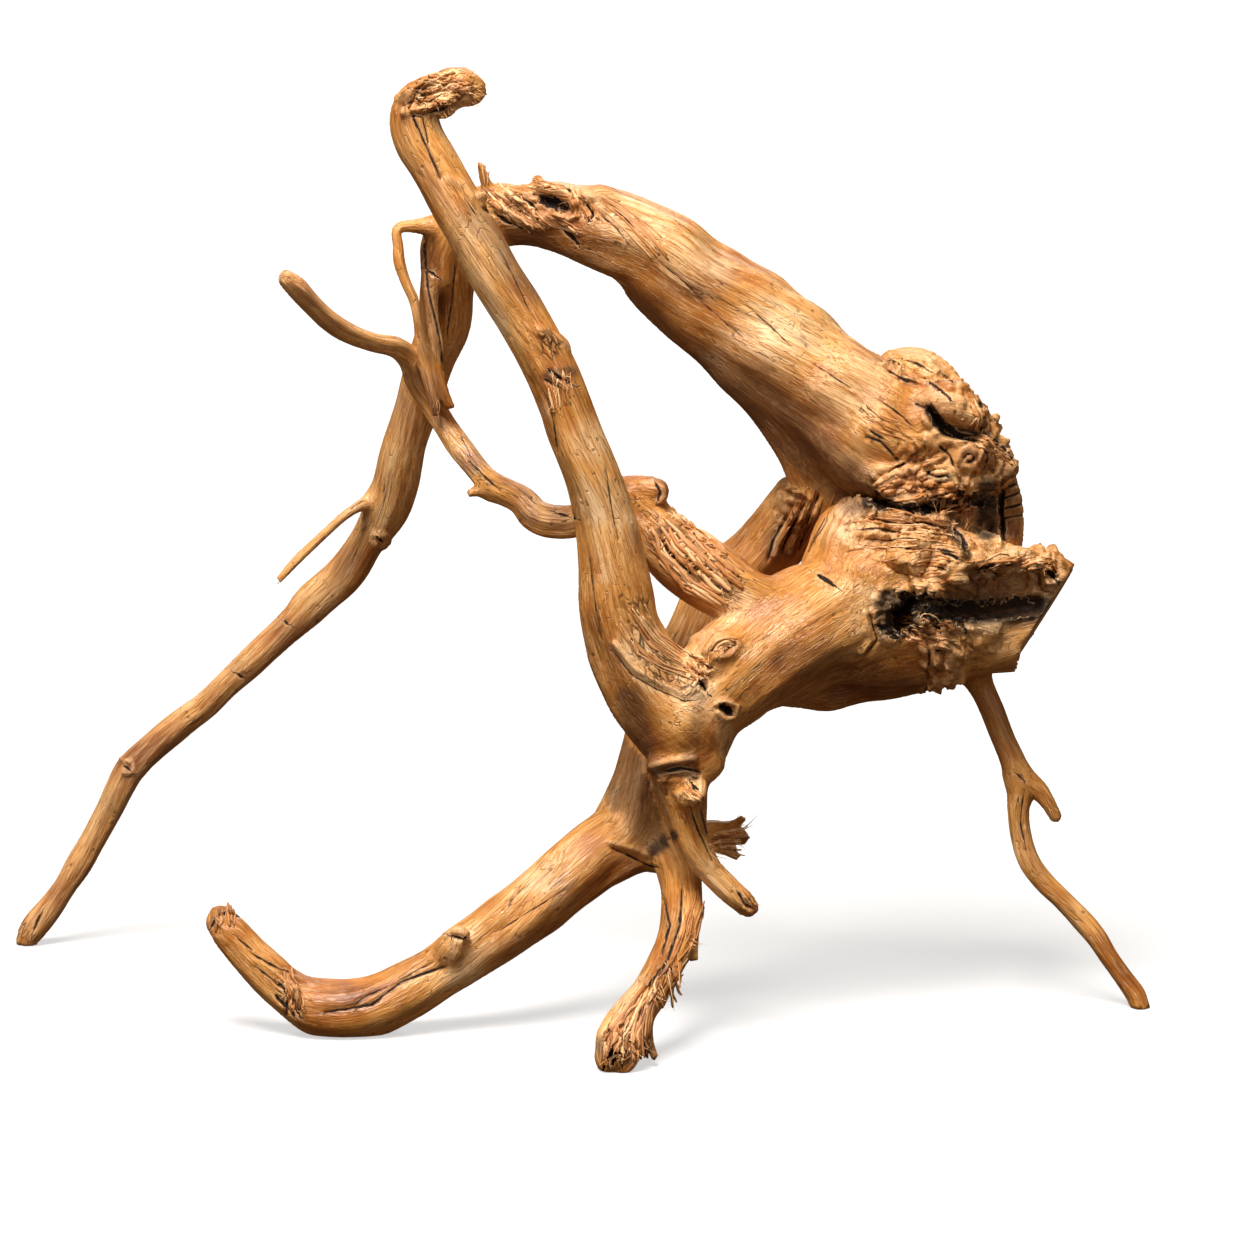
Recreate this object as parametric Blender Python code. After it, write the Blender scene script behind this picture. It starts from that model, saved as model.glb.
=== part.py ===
"""A bleached driftwood root for an aquarium: one piece of wood that grew as a root crown with its limbs.

Every limb is a route of stations. A station is written as (across, down, depth, radius): where its
centre shows in the photograph, in pixels, how far it lies behind the plane of the root crown, in
millimetres, and the limb's radius there, in millimetres. place() turns a station into metres.
"""

import math

import bmesh
import bpy
import numpy as np
from mathutils import Vector, noise

# Driving dimensions, in metres.
WIDTH = 0.383
PHOTO_WIDTH_PX = 1149
PIXEL = WIDTH / PHOTO_WIDTH_PX
MM = 0.001

# The eye that the stations are seen from: it looks along +Y and a little down at AIM, the point
# behind the photograph's middle pixel.
MIDDLE_PX = 627
EYE_DISTANCE = 3.0
EYE_PITCH = math.radians(12)
AIM = np.array([0.0176, 0.0195, 0.1250])

# Sizes of the build. The relief's depths are shares of a limb's radius there.
RING_SIDES = 20
STATION_STEP = 1.5 * MM
FUSE_VOXEL = 0.9 * MM
FILLET = 1.6 * MM
FILLET_PASSES = 3
REACH = 9 * MM
KNOT_LENGTH = 15 * MM
KNOT_DEPTH = 0.20
FLUTE_LENGTH = 60 * MM
FLUTES_ROUND = 1.5
FLUTE_DEPTH = 0.36
FLUTE_TWIST = 9.0
TRIANGLES = 10800
NOISE_STEP = 10
BURL_LENGTH_PX = 3
DOME_RISES = (math.radians(30), math.radians(60))
FIRST_SIDE = (0.3, 0.5, 0.8)
CHUNK = 8000
TINY = 1e-12

LEFT_ARCH = [
    (981, 460, -5, 9.4), (965, 454, -5, 12.8), (936, 447, -5, 17.6), (890, 439, -4, 21),
    (828, 388, -2, 19), (767, 340, 0, 18), (692, 285, 2, 16.8), (657, 254, 3, 15.2),
    (624, 236, 4, 13.8), (569, 218, 6, 11.5), (530, 215, 8, 9.8), (500, 215, 10, 9.9),
    (470, 222, 13, 10.3), (452, 246, 17, 10.2), (449, 280, 21, 9.3), (445, 320, 25, 8.4),
    (433, 360, 29, 7.5), (420, 400, 33, 7.2), (408, 440, 37, 7.6), (397, 480, 41, 7.6),
    (386, 508, 44, 7.2), (366, 540, 48, 6.3), (344, 574, 51, 6.2), (315, 600, 53, 6.1),
    (295, 620, 54, 5.1), (252, 660, 57, 4.5), (228, 682, 58, 4.2), (205, 704, 60, 4.5),
    (181, 722, 61, 5.0), (157, 742, 62, 4.9), (132, 766, 63, 5.3), (121, 785, 63, 5.0),
    (109, 811, 64, 4.5), (92, 843, 65, 4.1), (80, 864, 65, 4.3), (65, 887, 65, 3.8),
    (50, 908, 65, 4.1), (34, 928, 65, 4.2), (28, 938, 65, 3.4),
]
ARCH_KEEL = [
    (660, 296, -2, 4), (690, 329, -3, 5.4), (728, 367, -5, 6.4), (765, 405, -5, 6.8),
    (797, 441, -3, 7.8), (820, 476, 3, 9), (850, 512, 6, 11),
]
ARCH_TORN_RIDGE = [
    (598, 200, 0, 5), (572, 202, -1, 4.6), (545, 196, 3, 3.4), (540, 186, 5, 1.8), (538, 179, 6, 1.2),
]
ARCH_SPIKE = [(503, 204, 8, 3), (491, 192, 6, 2.0), (484, 178, 4, 1.4), (481, 166, 3, 1.1)]
FRONT_LIMB = [
    (468, 90, -43, 4.6), (456, 90, -44, 5.3), (438, 95, -46, 6.3), (420, 103, -47, 7.4),
    (414, 120, -48, 7.6), (420, 142, -49, 7.8), (432, 162, -50, 7.8), (454, 201, -52, 7.8),
    (477, 241, -54, 8.2), (500, 281, -56, 8.3), (525, 321, -57, 8.3), (546, 361, -58, 8.2),
    (562, 400, -59, 8.3), (576, 440, -59, 8.5), (592, 480, -59, 8.7), (604, 520, -58, 9.2),
    (611, 562, -58, 10.2), (617, 602, -57, 11.9), (626, 642, -56, 12.8), (647, 685, -54, 14.3),
    (678, 715, -52, 16),
]
TRUNK = [
    (680, 714, -52, 15.5), (706, 696, -50, 15.6), (742, 667, -47, 17), (790, 637, -39, 19.3),
    (840, 617, -29, 20.5), (890, 600, -19, 26.3), (930, 598, -15, 26), (972, 611, -12, 20.4),
    (1012, 609, -10, 19.4), (1038, 604, -9, 17),
]
CROWN_SHOULDER = [(838, 560, -24, 11), (852, 530, -20, 10.5), (880, 542, -17, 12), (930, 545, -14, 12)]
CROWN_UNDERSIDE = [
    (770, 674, -24, 8.4), (800, 671, -15, 10.8), (850, 667, -8, 10.8), (915, 662, -5, 9.4),
    (975, 650, -2, 8),
]
CROWN_BACK = [(830, 500, 8, 12), (880, 520, 8, 16), (930, 520, 8, 16), (970, 515, 8, 11), (990, 512, 7, 7.6)]
CROWN_PLANK = [(988, 556, 0, 8), (1006, 534, 4, 5.2), (1010, 505, 6, 4.4), (1006, 482, 6, 3.8)]
CROWN_FLAP = [(955, 556, -26, 5), (990, 556, -25, 4.4), (1020, 559, -22, 4.2), (1050, 567, -17, 4.2)]
CROWN_CAP = [(868, 400, 8, 8), (903, 385, 10, 9.8), (926, 388, 8, 9.2), (946, 405, 3, 8)]
CROWN_ROLL = [(920, 414, -14, 8.6), (946, 404, -17, 7.2), (966, 410, -16, 5.8)]
BENT_BRANCH = [
    (760, 606, -42, 9), (721, 584, -39, 10.6), (689, 564, -35, 11.2), (665, 541, -32, 9.7),
    (644, 515, -30, 7.8), (622, 500, -29, 6.7), (600, 508, -29, 5.4), (577, 521, -29, 5.2),
    (555, 522, -27, 5.2), (536, 515, -24, 5.0), (521, 500, -20, 4.4), (500, 489, -14, 4.3),
    (482, 475, -8, 4.0), (461, 449, 0, 4.2), (445, 425, 5, 3.8), (431, 401, 8, 3.8),
    (417, 379, 6, 3.7), (409, 360, 2, 3.6), (396, 348, -3, 3.5), (374, 343, -10, 3.3),
    (349, 333, -18, 3.4), (329, 320, -24, 3.4), (311, 303, -29, 3.6), (298, 289, -33, 3.5),
    (289, 281, -35, 2.8),
]
BRANCH_KNUCKLE = [(625, 500, -29, 6), (640, 491, -30, 4.6), (653, 491, -32, 4.3)]
BRANCH_THORN = [(492, 492, -12, 2.4), (480, 491, -13, 1.6), (471, 493, -14, 1.2)]
BACK_LIMB = [
    (840, 486, 6, 12), (803, 507, 11, 11.4), (764, 547, 11, 11.3), (724, 588, 8, 11.2),
    (698, 632, 2, 10.8), (671, 690, -6, 10.2), (653, 745, -13, 9.4), (642, 790, -20, 9.2),
    (624, 836, -28, 11.4), (589, 860, -35, 11.2), (545, 893, -42, 11), (510, 924, -47, 10.4),
    (476, 949, -50, 9.4), (433, 977, -53, 8.6), (391, 1000, -56, 9.3), (350, 1009, -57, 9.3),
    (314, 1006, -57, 8.3), (283, 990, -55, 7.2), (253, 962, -53, 6.5), (233, 939, -51, 5.8),
    (222, 925, -50, 4.9),
]
BACK_LIMB_BELLY = [(374, 1008, -56, 8.3), (346, 1013, -57, 8.3), (320, 1010, -57, 7.6)]
BACK_LIMB_KNOT = [(452, 948, -58, 4.6), (459, 936, -60, 2.6)]
FRONT_FOOT = [
    (645, 845, -28, 9), (669, 855, -34, 7), (680, 880, -44, 7.2), (681, 907, -54, 7.0),
    (676, 936, -65, 6.6), (664, 966, -76, 6.3), (648, 991, -85, 6.3), (632, 1013, -92, 6.7),
    (621, 1037, -98, 7.1), (617, 1054, -102, 6.6),
]
FOOT_SPLINTERS = [
    [(640, 1020, -93, 3), (648, 1040, -96, 1.5), (654, 1055, -99, 1.1)],
    [(676, 945, -64, 3), (690, 945, -65, 1.5), (694, 958, -68, 1.1)],
]
SPUR = [
    (690, 724, -52, 14), (684, 758, -54, 10), (682, 780, -56, 8.8), (684, 802, -57, 7.4),
    (688, 826, -58, 6.0), (697, 849, -59, 5.1), (711, 870, -60, 4.4), (727, 887, -61, 4.1),
    (740, 899, -62, 3.6), (748, 906, -62, 2.8),
]
SPUR_KNOB = [(686, 785, -60, 5), (693, 793, -66, 3.9)]
SPUR_LEDGE = [(690, 752, -60, 7), (664, 764, -62, 4.6)]
TORN_STUB = [
    [(655, 826, -27, 5), (700, 832, -31, 3.2), (722, 834, -33, 2.6), (740, 837, -34, 2.0)],
    [(712, 830, -33, 2.4), (731, 826, -34, 1.4), (742, 819, -35, 1.1)],
    [(700, 840, -31, 3), (722, 849, -33, 1.6), (736, 856, -34, 1.2)],
]
RIGHT_LEG = [
    (950, 630, 0, 7), (977, 679, 0, 4.6), (990, 706, -2, 4.1), (1001, 735, -4, 3.8),
    (1013, 763, -6, 4.0), (1020, 786, -7, 4.2), (1018, 809, -9, 3.5), (1021, 835, -10, 3.4),
    (1029, 861, -12, 3.5), (1043, 881, -13, 3.5), (1062, 900, -15, 3.4), (1080, 919, -16, 3.5),
    (1096, 938, -18, 3.4), (1108, 957, -19, 3.2), (1122, 977, -20, 3.1), (1134, 994, -21, 3.3),
    (1139, 1006, -22, 3.1),
]
LEG_STUB = [(1020, 780, -7, 3.6), (1037, 788, -8, 2.9), (1047, 801, -9, 2.5), (1054, 814, -9, 2.1)]
OUTER_STRAND = [
    (445, 228, 12, 4), (420, 226, 9, 2.4), (398, 229, 6, 1.7), (398, 247, 5, 1.8), (399, 262, 4, 2.0),
    (405, 281, 3, 1.7), (413, 299, 2, 1.7), (417, 316, 1, 1.5), (420, 333, 1, 1.7), (424, 352, 0, 2.0),
    (429, 376, -1, 2.0), (434, 400, -2, 1.6), (436, 413, -2, 1.1),
]
INNER_STRAND = [
    (440, 272, 14, 4.5), (431, 290, 10, 2.8), (432, 320, 7, 2.3), (436, 345, 4, 2.3),
    (437, 370, 2, 2.2), (442, 390, 0, 1.9), (449, 404, -1, 1.4),
]
NEEDLE_TWIG = [
    (372, 500, 42, 2.2), (358, 507, 37, 1.7), (343, 517, 35, 1.5), (319, 539, 33, 1.5),
    (297, 560, 31, 1.5), (280, 579, 30, 1.1),
]

# Round lumps that stand out of the crown, the trunk and the arch, each (across, down, depth, radius).
BURLS = [
    (908, 556, -40, 5), (944, 565, -37, 6), (925, 585, -41, 3.6), (922, 611, -42, 4.2),
    (952, 612, -36, 4.2), (942, 641, -34, 5), (968, 638, -29, 5), (946, 668, -26, 5), (868, 540, -31, 5),
    (846, 545, -30, 4.4), (893, 520, -25, 5), (925, 522, -23, 5.4), (862, 572, -38, 5),
    (967, 454, -19, 5), (900, 484, -20, 5.5), (932, 478, -19, 5), (878, 474, -20, 5), (965, 476, -15, 5),
    (700, 765, -60, 5.6), (722, 648, -58, 5.5), (455, 84, -44, 4.6),
]

# Every limb, with how deeply the weather has fluted it.
LIMBS = [
    (LEFT_ARCH, 1.0), (ARCH_KEEL, 1.6), (ARCH_TORN_RIDGE, 2.0), (ARCH_SPIKE, 0.5), (FRONT_LIMB, 0.7),
    (TRUNK, 0.8), (CROWN_SHOULDER, 1.6), (CROWN_UNDERSIDE, 1.5), (CROWN_BACK, 1.6), (CROWN_PLANK, 1.5),
    (CROWN_FLAP, 1.5), (CROWN_CAP, 1.5), (CROWN_ROLL, 1.0), (BENT_BRANCH, 1.2), (BRANCH_KNUCKLE, 0.8),
    (BRANCH_THORN, 0.5), (BACK_LIMB, 1.1), (BACK_LIMB_BELLY, 0.4), (BACK_LIMB_KNOT, 1.0),
    (FRONT_FOOT, 1.3), (SPUR, 1.0),
    (SPUR_KNOB, 1.0), (SPUR_LEDGE, 1.0), (RIGHT_LEG, 0.8), (LEG_STUB, 0.8), (OUTER_STRAND, 0.8),
    (INNER_STRAND, 1.0), (NEEDLE_TWIG, 0.6), *((splinter, 0.5) for splinter in FOOT_SPLINTERS),
    *((splinter, 1.0) for splinter in TORN_STUB),
    *(([burl, (burl[0] + BURL_LENGTH_PX, *burl[1:])], 1.2) for burl in BURLS),
]

# What has rotted out of the crown: the hollow in its front and the slot under the arch's root.
CROWN_HOLLOW = [
    (893, 616, -40, 5.5), (925, 602, -36, 8), (975, 594, -32, 9), (1030, 590, -30, 9.5),
    (1100, 588, -30, 10),
]
CROWN_SLOT = [
    (872, 497, -34, 3.5), (905, 508, -26, 3.5), (945, 508, -20, 5), (990, 514, -14, 9), (1050, 512, -12, 12),
]
HOLLOWS = [CROWN_HOLLOW, CROWN_SLOT]

# The sawn end of the crown: a point on the saw cut, the way that its face looks, and its reach.
SAW_POINT = (1049, 607, -10)
SAW_FACES = np.array([0.84, -0.18, -0.51])
SAW_BOX = 44 * MM

# The block below the floor that cuts the four feet flat.
FLOOR_BLOCK = (0.6, 0.5, 0.05)

WOOD_COLOUR = (0.56, 0.27, 0.085, 1)
WOOD_ROUGHNESS = 0.62


def place(across, down, depth):
    """The point, in metres, that shows at this pixel and lies this deep, in millimetres."""
    forward = np.array([0, math.cos(EYE_PITCH), -math.sin(EYE_PITCH)])
    upward = np.array([0, math.sin(EYE_PITCH), math.cos(EYE_PITCH)])
    eye = AIM - forward * EYE_DISTANCE
    ray = forward * EYE_DISTANCE - (down - MIDDLE_PX) * PIXEL * upward
    ray[0] += (across - MIDDLE_PX) * PIXEL
    return eye + ray * (AIM[1] + depth * MM - eye[1]) / ray[1]


def smooth_route(stations):
    """Centres and radii along a Catmull-Rom curve through the stations, a step apart."""
    knots = np.array([[*place(*s[:3]), s[3] * MM] for s in stations])
    knots = np.vstack([2 * knots[0] - knots[1], knots, 2 * knots[-1] - knots[-2]])
    pieces = []
    for a, b, c, d in zip(knots[:-3], knots[1:-2], knots[2:-1], knots[3:]):
        count = max(2, round(np.linalg.norm(c[:3] - b[:3]) / STATION_STEP))
        t = np.arange(count)[:, None] / count
        pieces.append(
            b + 0.5 * t * (c - a + t * (2 * a - 5 * b + 4 * c - d + t * (3 * (b - c) + d - a)))
        )
    pieces.append(knots[-2:-1])
    route = np.vstack(pieces)
    low = min(s[3] for s in stations) * MM
    return route[:, :3], np.maximum(route[:, 3], low)


def carried_frame(centres):
    """Two unit vectors across the route at each centre, carried along it with no twist."""
    along = np.gradient(centres, axis=0)
    along /= np.linalg.norm(along, axis=1)[:, None]
    first = np.cross(along[0], FIRST_SIDE)
    across = [first / np.linalg.norm(first)]
    for way in along[1:]:
        side = across[-1] - way * (across[-1] @ way)
        across.append(side / np.linalg.norm(side))
    across = np.array(across)
    return along, across, np.cross(along, across)


def tube(stations):
    """Points and faces of a closed tube along a route, its ends rounded over like worn wood."""
    centres, radii = smooth_route(stations)
    along, across, other = carried_frame(centres)
    turn = np.arange(RING_SIDES) * 2 * math.pi / RING_SIDES
    spokes = across[:, None] * np.cos(turn)[:, None] + other[:, None] * np.sin(turn)[:, None]
    rings = [*(centres[:, None] + spokes * radii[:, None, None])]
    for rise in DOME_RISES:
        ahead = along * (radii * math.sin(rise))[:, None]
        narrower = spokes * (radii * math.cos(rise))[:, None, None]
        rings.insert(0, centres[0] - ahead[0] + narrower[0])
        rings.append(centres[-1] + ahead[-1] + narrower[-1])
    tips = [centres[0] - along[0] * radii[0], centres[-1] + along[-1] * radii[-1]]
    points = np.vstack([*rings, tips])
    last = (len(rings) - 1) * RING_SIDES
    faces = []
    for side in range(RING_SIDES):
        after = (side + 1) % RING_SIDES
        for base in range(0, last, RING_SIDES):
            above = base + RING_SIDES
            faces.append((base + side, base + after, above + after, above + side))
        faces.append((after, side, len(points) - 2))
        faces.append((last + side, last + after, len(points) - 1))
    return points, faces


def add_object(name, tubes):
    """One object that holds these tubes, still separate shells."""
    points, faces = [], []
    for tube_points, tube_faces in tubes:
        start = sum(map(len, points))
        points.append(tube_points)
        faces += [tuple(start + corner for corner in face) for face in tube_faces]
    mesh = bpy.data.meshes.new(name)
    mesh.from_pydata(np.vstack(points).tolist(), [], faces)
    made = bpy.data.objects.new(name, mesh)
    bpy.context.scene.collection.objects.link(made)
    return made


def add_modifier(made, kind, **settings):
    modifier = made.modifiers.new(kind.title(), kind)
    for key, value in settings.items():
        setattr(modifier, key, value)
    return modifier


def as_cutter(made):
    made.hide_render = True
    made.display_type = "WIRE"
    return made


def box_cutter(name, middle, size, faces_way):
    """A box of this size round its middle, one of its faces looking along a direction."""
    made = bpy.data.objects.new(name, bpy.data.meshes.new(name))
    shape = bmesh.new()
    bmesh.ops.create_cube(shape, size=1)
    bmesh.ops.scale(shape, vec=size, verts=shape.verts)
    shape.to_mesh(made.data)
    shape.free()
    made.rotation_euler = Vector(faces_way).to_track_quat("Z", "Y").to_euler()
    made.location = middle
    bpy.context.scene.collection.objects.link(made)
    return as_cutter(made)


def evaluated(made):
    """The object's mesh as its modifiers leave it; the object itself is removed."""
    graph = bpy.context.evaluated_depsgraph_get()
    mesh = bpy.data.meshes.new_from_object(made.evaluated_get(graph))
    bpy.data.objects.remove(made)
    return mesh


def grown_together():
    """The limbs' tubes fused into one skin of small even faces, the rotted hollows cut out of it."""
    rough = add_object("rough", [tube(stations) for stations, _ in LIMBS])
    add_modifier(rough, "REMESH", mode="VOXEL", voxel_size=FUSE_VOXEL)
    hollows = [as_cutter(add_object("hollow", [tube(hollow)])) for hollow in HOLLOWS]
    saw_middle = place(*SAW_POINT) + SAW_FACES * SAW_BOX / 2
    hollows.append(box_cutter("saw_cut", saw_middle, (SAW_BOX, SAW_BOX, SAW_BOX), SAW_FACES))
    for hollow in hollows:
        # The skin has too many faces for the exact solver, and both meshes are closed.
        add_modifier(rough, "BOOLEAN", operation="DIFFERENCE", solver="MANIFOLD", object=hollow)
    add_modifier(rough, "REMESH", mode="VOXEL", voxel_size=FUSE_VOXEL)
    skin = evaluated(rough)
    for hollow in hollows:
        bpy.data.objects.remove(hollow)
    return skin


class Limb:
    """A route that can say how far points lie outside its tube, and which way is out."""

    def __init__(self, number, stations, fluting=0):
        self.number = number
        self.fluting = fluting
        self.centres, self.radii = smooth_route(stations)
        self.along, self.across, self.other = carried_frame(self.centres)
        steps = np.linalg.norm(np.diff(self.centres, axis=0), axis=1)
        self.lengths = np.concatenate([[0], np.cumsum(steps)])
        self.low = (self.centres - self.radii[:, None]).min(axis=0)
        self.high = (self.centres + self.radii[:, None]).max(axis=0)

    def near(self, points):
        """Which points lie in the box round the tube, grown by the reach of the fillets."""
        return np.all((points > self.low - REACH) & (points < self.high + REACH), axis=1)

    def measure(self, points, carved):
        """Distance outside the tube, the unit way out and, where carved, the relief there."""
        flat = (points**2).sum(1)[:, None] + (self.centres**2).sum(1) - 2 * points @ self.centres.T
        nearest = np.argmin(np.sqrt(np.maximum(flat, 0)) - self.radii, axis=1)
        centre, way = self.centres[nearest], self.along[nearest]
        ahead = ((points - centre) * way).sum(1).clip(-STATION_STEP / 2, STATION_STEP / 2)
        out = points - centre - way * ahead[:, None]
        far = np.linalg.norm(out, axis=1)
        out /= np.maximum(far, TINY)[:, None]
        radius = self.radii[nearest]
        if not carved:
            return far - radius, out, 0
        turned = np.arctan2((out * self.other[nearest]).sum(1), (out * self.across[nearest]).sum(1))
        return far - radius, out, self.relief(turned, self.lengths[nearest] + ahead, radius)

    def relief(self, turned, run, radius):
        """Height of the flutes and knots: noise that is stretched along the limb and turns with it."""
        turned = turned + run * FLUTE_TWIST
        rounds = FLUTES_ROUND * np.column_stack([np.cos(turned), np.sin(turned)])
        flutes = np.column_stack([rounds, run / FLUTE_LENGTH + NOISE_STEP * self.number])
        girth = rounds / FLUTES_ROUND * (radius / KNOT_LENGTH)[:, None]
        knots = np.column_stack([girth, run / KNOT_LENGTH - NOISE_STEP * self.number])
        height = FLUTE_DEPTH * noise_at(flutes) + KNOT_DEPTH * noise_at(knots)
        return height * radius * self.fluting


def noise_at(spots):
    return np.array([noise.noise(spot) for spot in spots.tolist()])


def blended(limbs, points, carved=False):
    """How far points lie outside all the limbs grown together, the way out, and the relief there.

    The limbs' distances d are blended as -k log(sum of exp(-d / k)), which fills the crotches.
    """
    weights = np.zeros(len(points))
    way = np.zeros((len(points), 3))
    height = np.zeros(len(points))
    for limb in limbs:
        near = np.flatnonzero(limb.near(points))
        for part in np.array_split(near, 1 + len(near) // CHUNK):
            far, out, relief = limb.measure(points[part], carved)
            share = np.exp(-far / FILLET)
            weights[part] += share
            way[part] += out * share[:, None]
            height[part] += relief * share
    weights = np.maximum(weights, TINY)
    return -FILLET * np.log(weights), way / weights[:, None], height / weights


def held(points, hollows):
    """True for the points of the hollows' walls and of the saw cut, which the fillets leave alone."""
    inward = -blended(hollows, points)[0]
    beyond = points - place(*SAW_POINT)
    before_cut = beyond @ SAW_FACES
    beside = np.linalg.norm(beyond - before_cut[:, None] * SAW_FACES, axis=1)
    sawn = (before_cut > -FUSE_VOXEL) & (beside < SAW_BOX / 2)
    return (inward > -FUSE_VOXEL) | sawn


def carve(points):
    """The skin's points moved onto the blended limbs, then raised and sunk by the relief."""
    limbs = [Limb(number, *limb) for number, limb in enumerate(LIMBS)]
    free = ~held(points, [Limb(0, hollow) for hollow in HOLLOWS])
    for _ in range(FILLET_PASSES):
        far, way, _ = blended(limbs, points)
        points = points - way * (far * free).clip(-FILLET, FILLET)[:, None]
    _, way, height = blended(limbs, points, carved=True)
    return points + way * (height * free)[:, None]


def wood():
    material = bpy.data.materials.new("weathered_driftwood")
    material.use_nodes = True
    shader = material.node_tree.nodes["Principled BSDF"]
    shader.inputs["Base Color"].default_value = WOOD_COLOUR
    shader.inputs["Roughness"].default_value = WOOD_ROUGHNESS
    shader.inputs["Metallic"].default_value = 0
    return material


def main():
    for old in list(bpy.data.objects):
        bpy.data.objects.remove(old)
    skin = grown_together()
    points = np.empty(len(skin.vertices) * 3, np.float32)
    skin.vertices.foreach_get("co", points)
    skin.vertices.foreach_set("co", carve(points.reshape(-1, 3).astype(float)).ravel())
    carved = bpy.data.objects.new("carved", skin)
    bpy.context.scene.collection.objects.link(carved)
    add_modifier(carved, "REMESH", mode="VOXEL", voxel_size=FUSE_VOXEL)
    skin = evaluated(carved)
    skin.name = "driftwood_root"
    skin.shade_smooth()
    skin.materials.append(wood())
    root = bpy.data.objects.new("driftwood_root", skin)
    bpy.context.scene.collection.objects.link(root)
    skin.calc_loop_triangles()
    fewer = TRIANGLES / len(skin.loop_triangles)
    add_modifier(root, "DECIMATE", ratio=fewer, use_collapse_triangulate=True)
    floor = box_cutter("floor", (0, 0, -FLOOR_BLOCK[2] / 2), FLOOR_BLOCK, (0, 0, 1))
    add_modifier(root, "BOOLEAN", operation="DIFFERENCE", object=floor)


main()
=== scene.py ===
# %% [markdown]
# # A driftwood root for an aquarium
#
# The real object is one piece of root wood that lay in water and sun until its bark was gone. A thick
# crown, partly rotted out and sawn off at one end, sends out limbs that wander, taper and fray.
# Nothing on it is straight or round, so no ready-made shape is a good start. It could be sculpted by
# hand, but a script has to give the same result every time. So each limb is a tube along a route, the
# tubes are grown together into one skin, and the weather's work is added as heights worked out with
# numpy: flutes, fibres, wrinkles, cracks and holes.

# %% Load the fixed frame
import math

import bmesh
import bpy
import numpy as np
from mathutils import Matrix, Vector, noise
from mathutils.bvhtree import BVHTree


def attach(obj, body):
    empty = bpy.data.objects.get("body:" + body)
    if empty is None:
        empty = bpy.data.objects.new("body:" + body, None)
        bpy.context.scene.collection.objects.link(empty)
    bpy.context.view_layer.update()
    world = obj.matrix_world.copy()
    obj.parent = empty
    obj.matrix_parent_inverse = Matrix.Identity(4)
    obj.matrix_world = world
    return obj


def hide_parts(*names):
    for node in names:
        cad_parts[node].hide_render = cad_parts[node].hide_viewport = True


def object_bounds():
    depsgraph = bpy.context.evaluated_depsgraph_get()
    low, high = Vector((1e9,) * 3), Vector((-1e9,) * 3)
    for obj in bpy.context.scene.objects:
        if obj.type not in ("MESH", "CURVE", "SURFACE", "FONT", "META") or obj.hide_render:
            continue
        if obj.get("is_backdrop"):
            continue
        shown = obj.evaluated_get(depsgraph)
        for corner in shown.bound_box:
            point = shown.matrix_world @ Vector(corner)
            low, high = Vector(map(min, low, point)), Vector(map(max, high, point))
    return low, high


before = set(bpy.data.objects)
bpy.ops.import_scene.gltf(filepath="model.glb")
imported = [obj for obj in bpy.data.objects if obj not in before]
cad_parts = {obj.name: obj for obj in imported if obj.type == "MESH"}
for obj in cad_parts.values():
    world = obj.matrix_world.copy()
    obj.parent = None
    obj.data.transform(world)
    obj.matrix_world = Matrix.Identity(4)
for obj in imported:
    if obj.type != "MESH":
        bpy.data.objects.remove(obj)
cad_low, cad_high = (np.array(corner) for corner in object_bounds())
MM = 0.001
print("nodes:", sorted(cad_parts), "size in mm:", ((cad_high - cad_low) / MM).round(1))

# %% [markdown]
# ## Where the eye stands
#
# The photograph was taken from far off and about 12 degrees above, so things barely shrink with
# distance. Every place on the wood is written as it shows there: pixels across and down, and how far
# it lies behind the crown's middle plane, in millimetres. `place` turns that into metres, and
# `seen_at` goes the other way, which tells a crack drawn on the picture which wood it runs over.

# %% Places in the picture and in metres
PIXEL = 0.383 / 1149
FRAME_PX = 1254
MIDDLE_PX = FRAME_PX / 2
EYE_DISTANCE = 3.0
EYE_PITCH = math.radians(12)
AIM = np.array([0.0176, 0.0195, 0.1250])
FORWARD = np.array([0, math.cos(EYE_PITCH), -math.sin(EYE_PITCH)])
UPWARD = np.array([0, math.sin(EYE_PITCH), math.cos(EYE_PITCH)])
EYE = AIM - FORWARD * EYE_DISTANCE


def place(across, down, depth):
    """The point, in metres, where the ray through this pixel meets the upright plane this deep."""
    ray = FORWARD * EYE_DISTANCE - (down - MIDDLE_PX) * PIXEL * UPWARD
    ray[0] += (across - MIDDLE_PX) * PIXEL
    return EYE + ray * (AIM[1] + depth * MM - EYE[1]) / ray[1]


def seen_at(points):
    """The pixels where points show: their offset from the line of sight, over their distance."""
    away = points - EYE
    shrink = EYE_DISTANCE / PIXEL / (away @ FORWARD)
    return np.column_stack([MIDDLE_PX + away[:, 0] * shrink, MIDDLE_PX - away @ UPWARD * shrink])


print("the middle pixel of the crown's plane is at", place(MIDDLE_PX, MIDDLE_PX, 0).round(4))

# %% [markdown]
# ## The camera
#
# A long lens from three metres gives the photograph's flat perspective. Its length follows from two
# similar triangles: the frame's width at the wood is to its distance as the sensor is to the lens.

# %% Camera at the photograph's viewpoint
SENSOR_MM = 36
FARTHEST = 50
scene = bpy.context.scene


def put(name, data):
    """A new object that holds this data, linked into the scene."""
    made = bpy.data.objects.new(name, data)
    scene.collection.objects.link(made)
    return made


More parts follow.
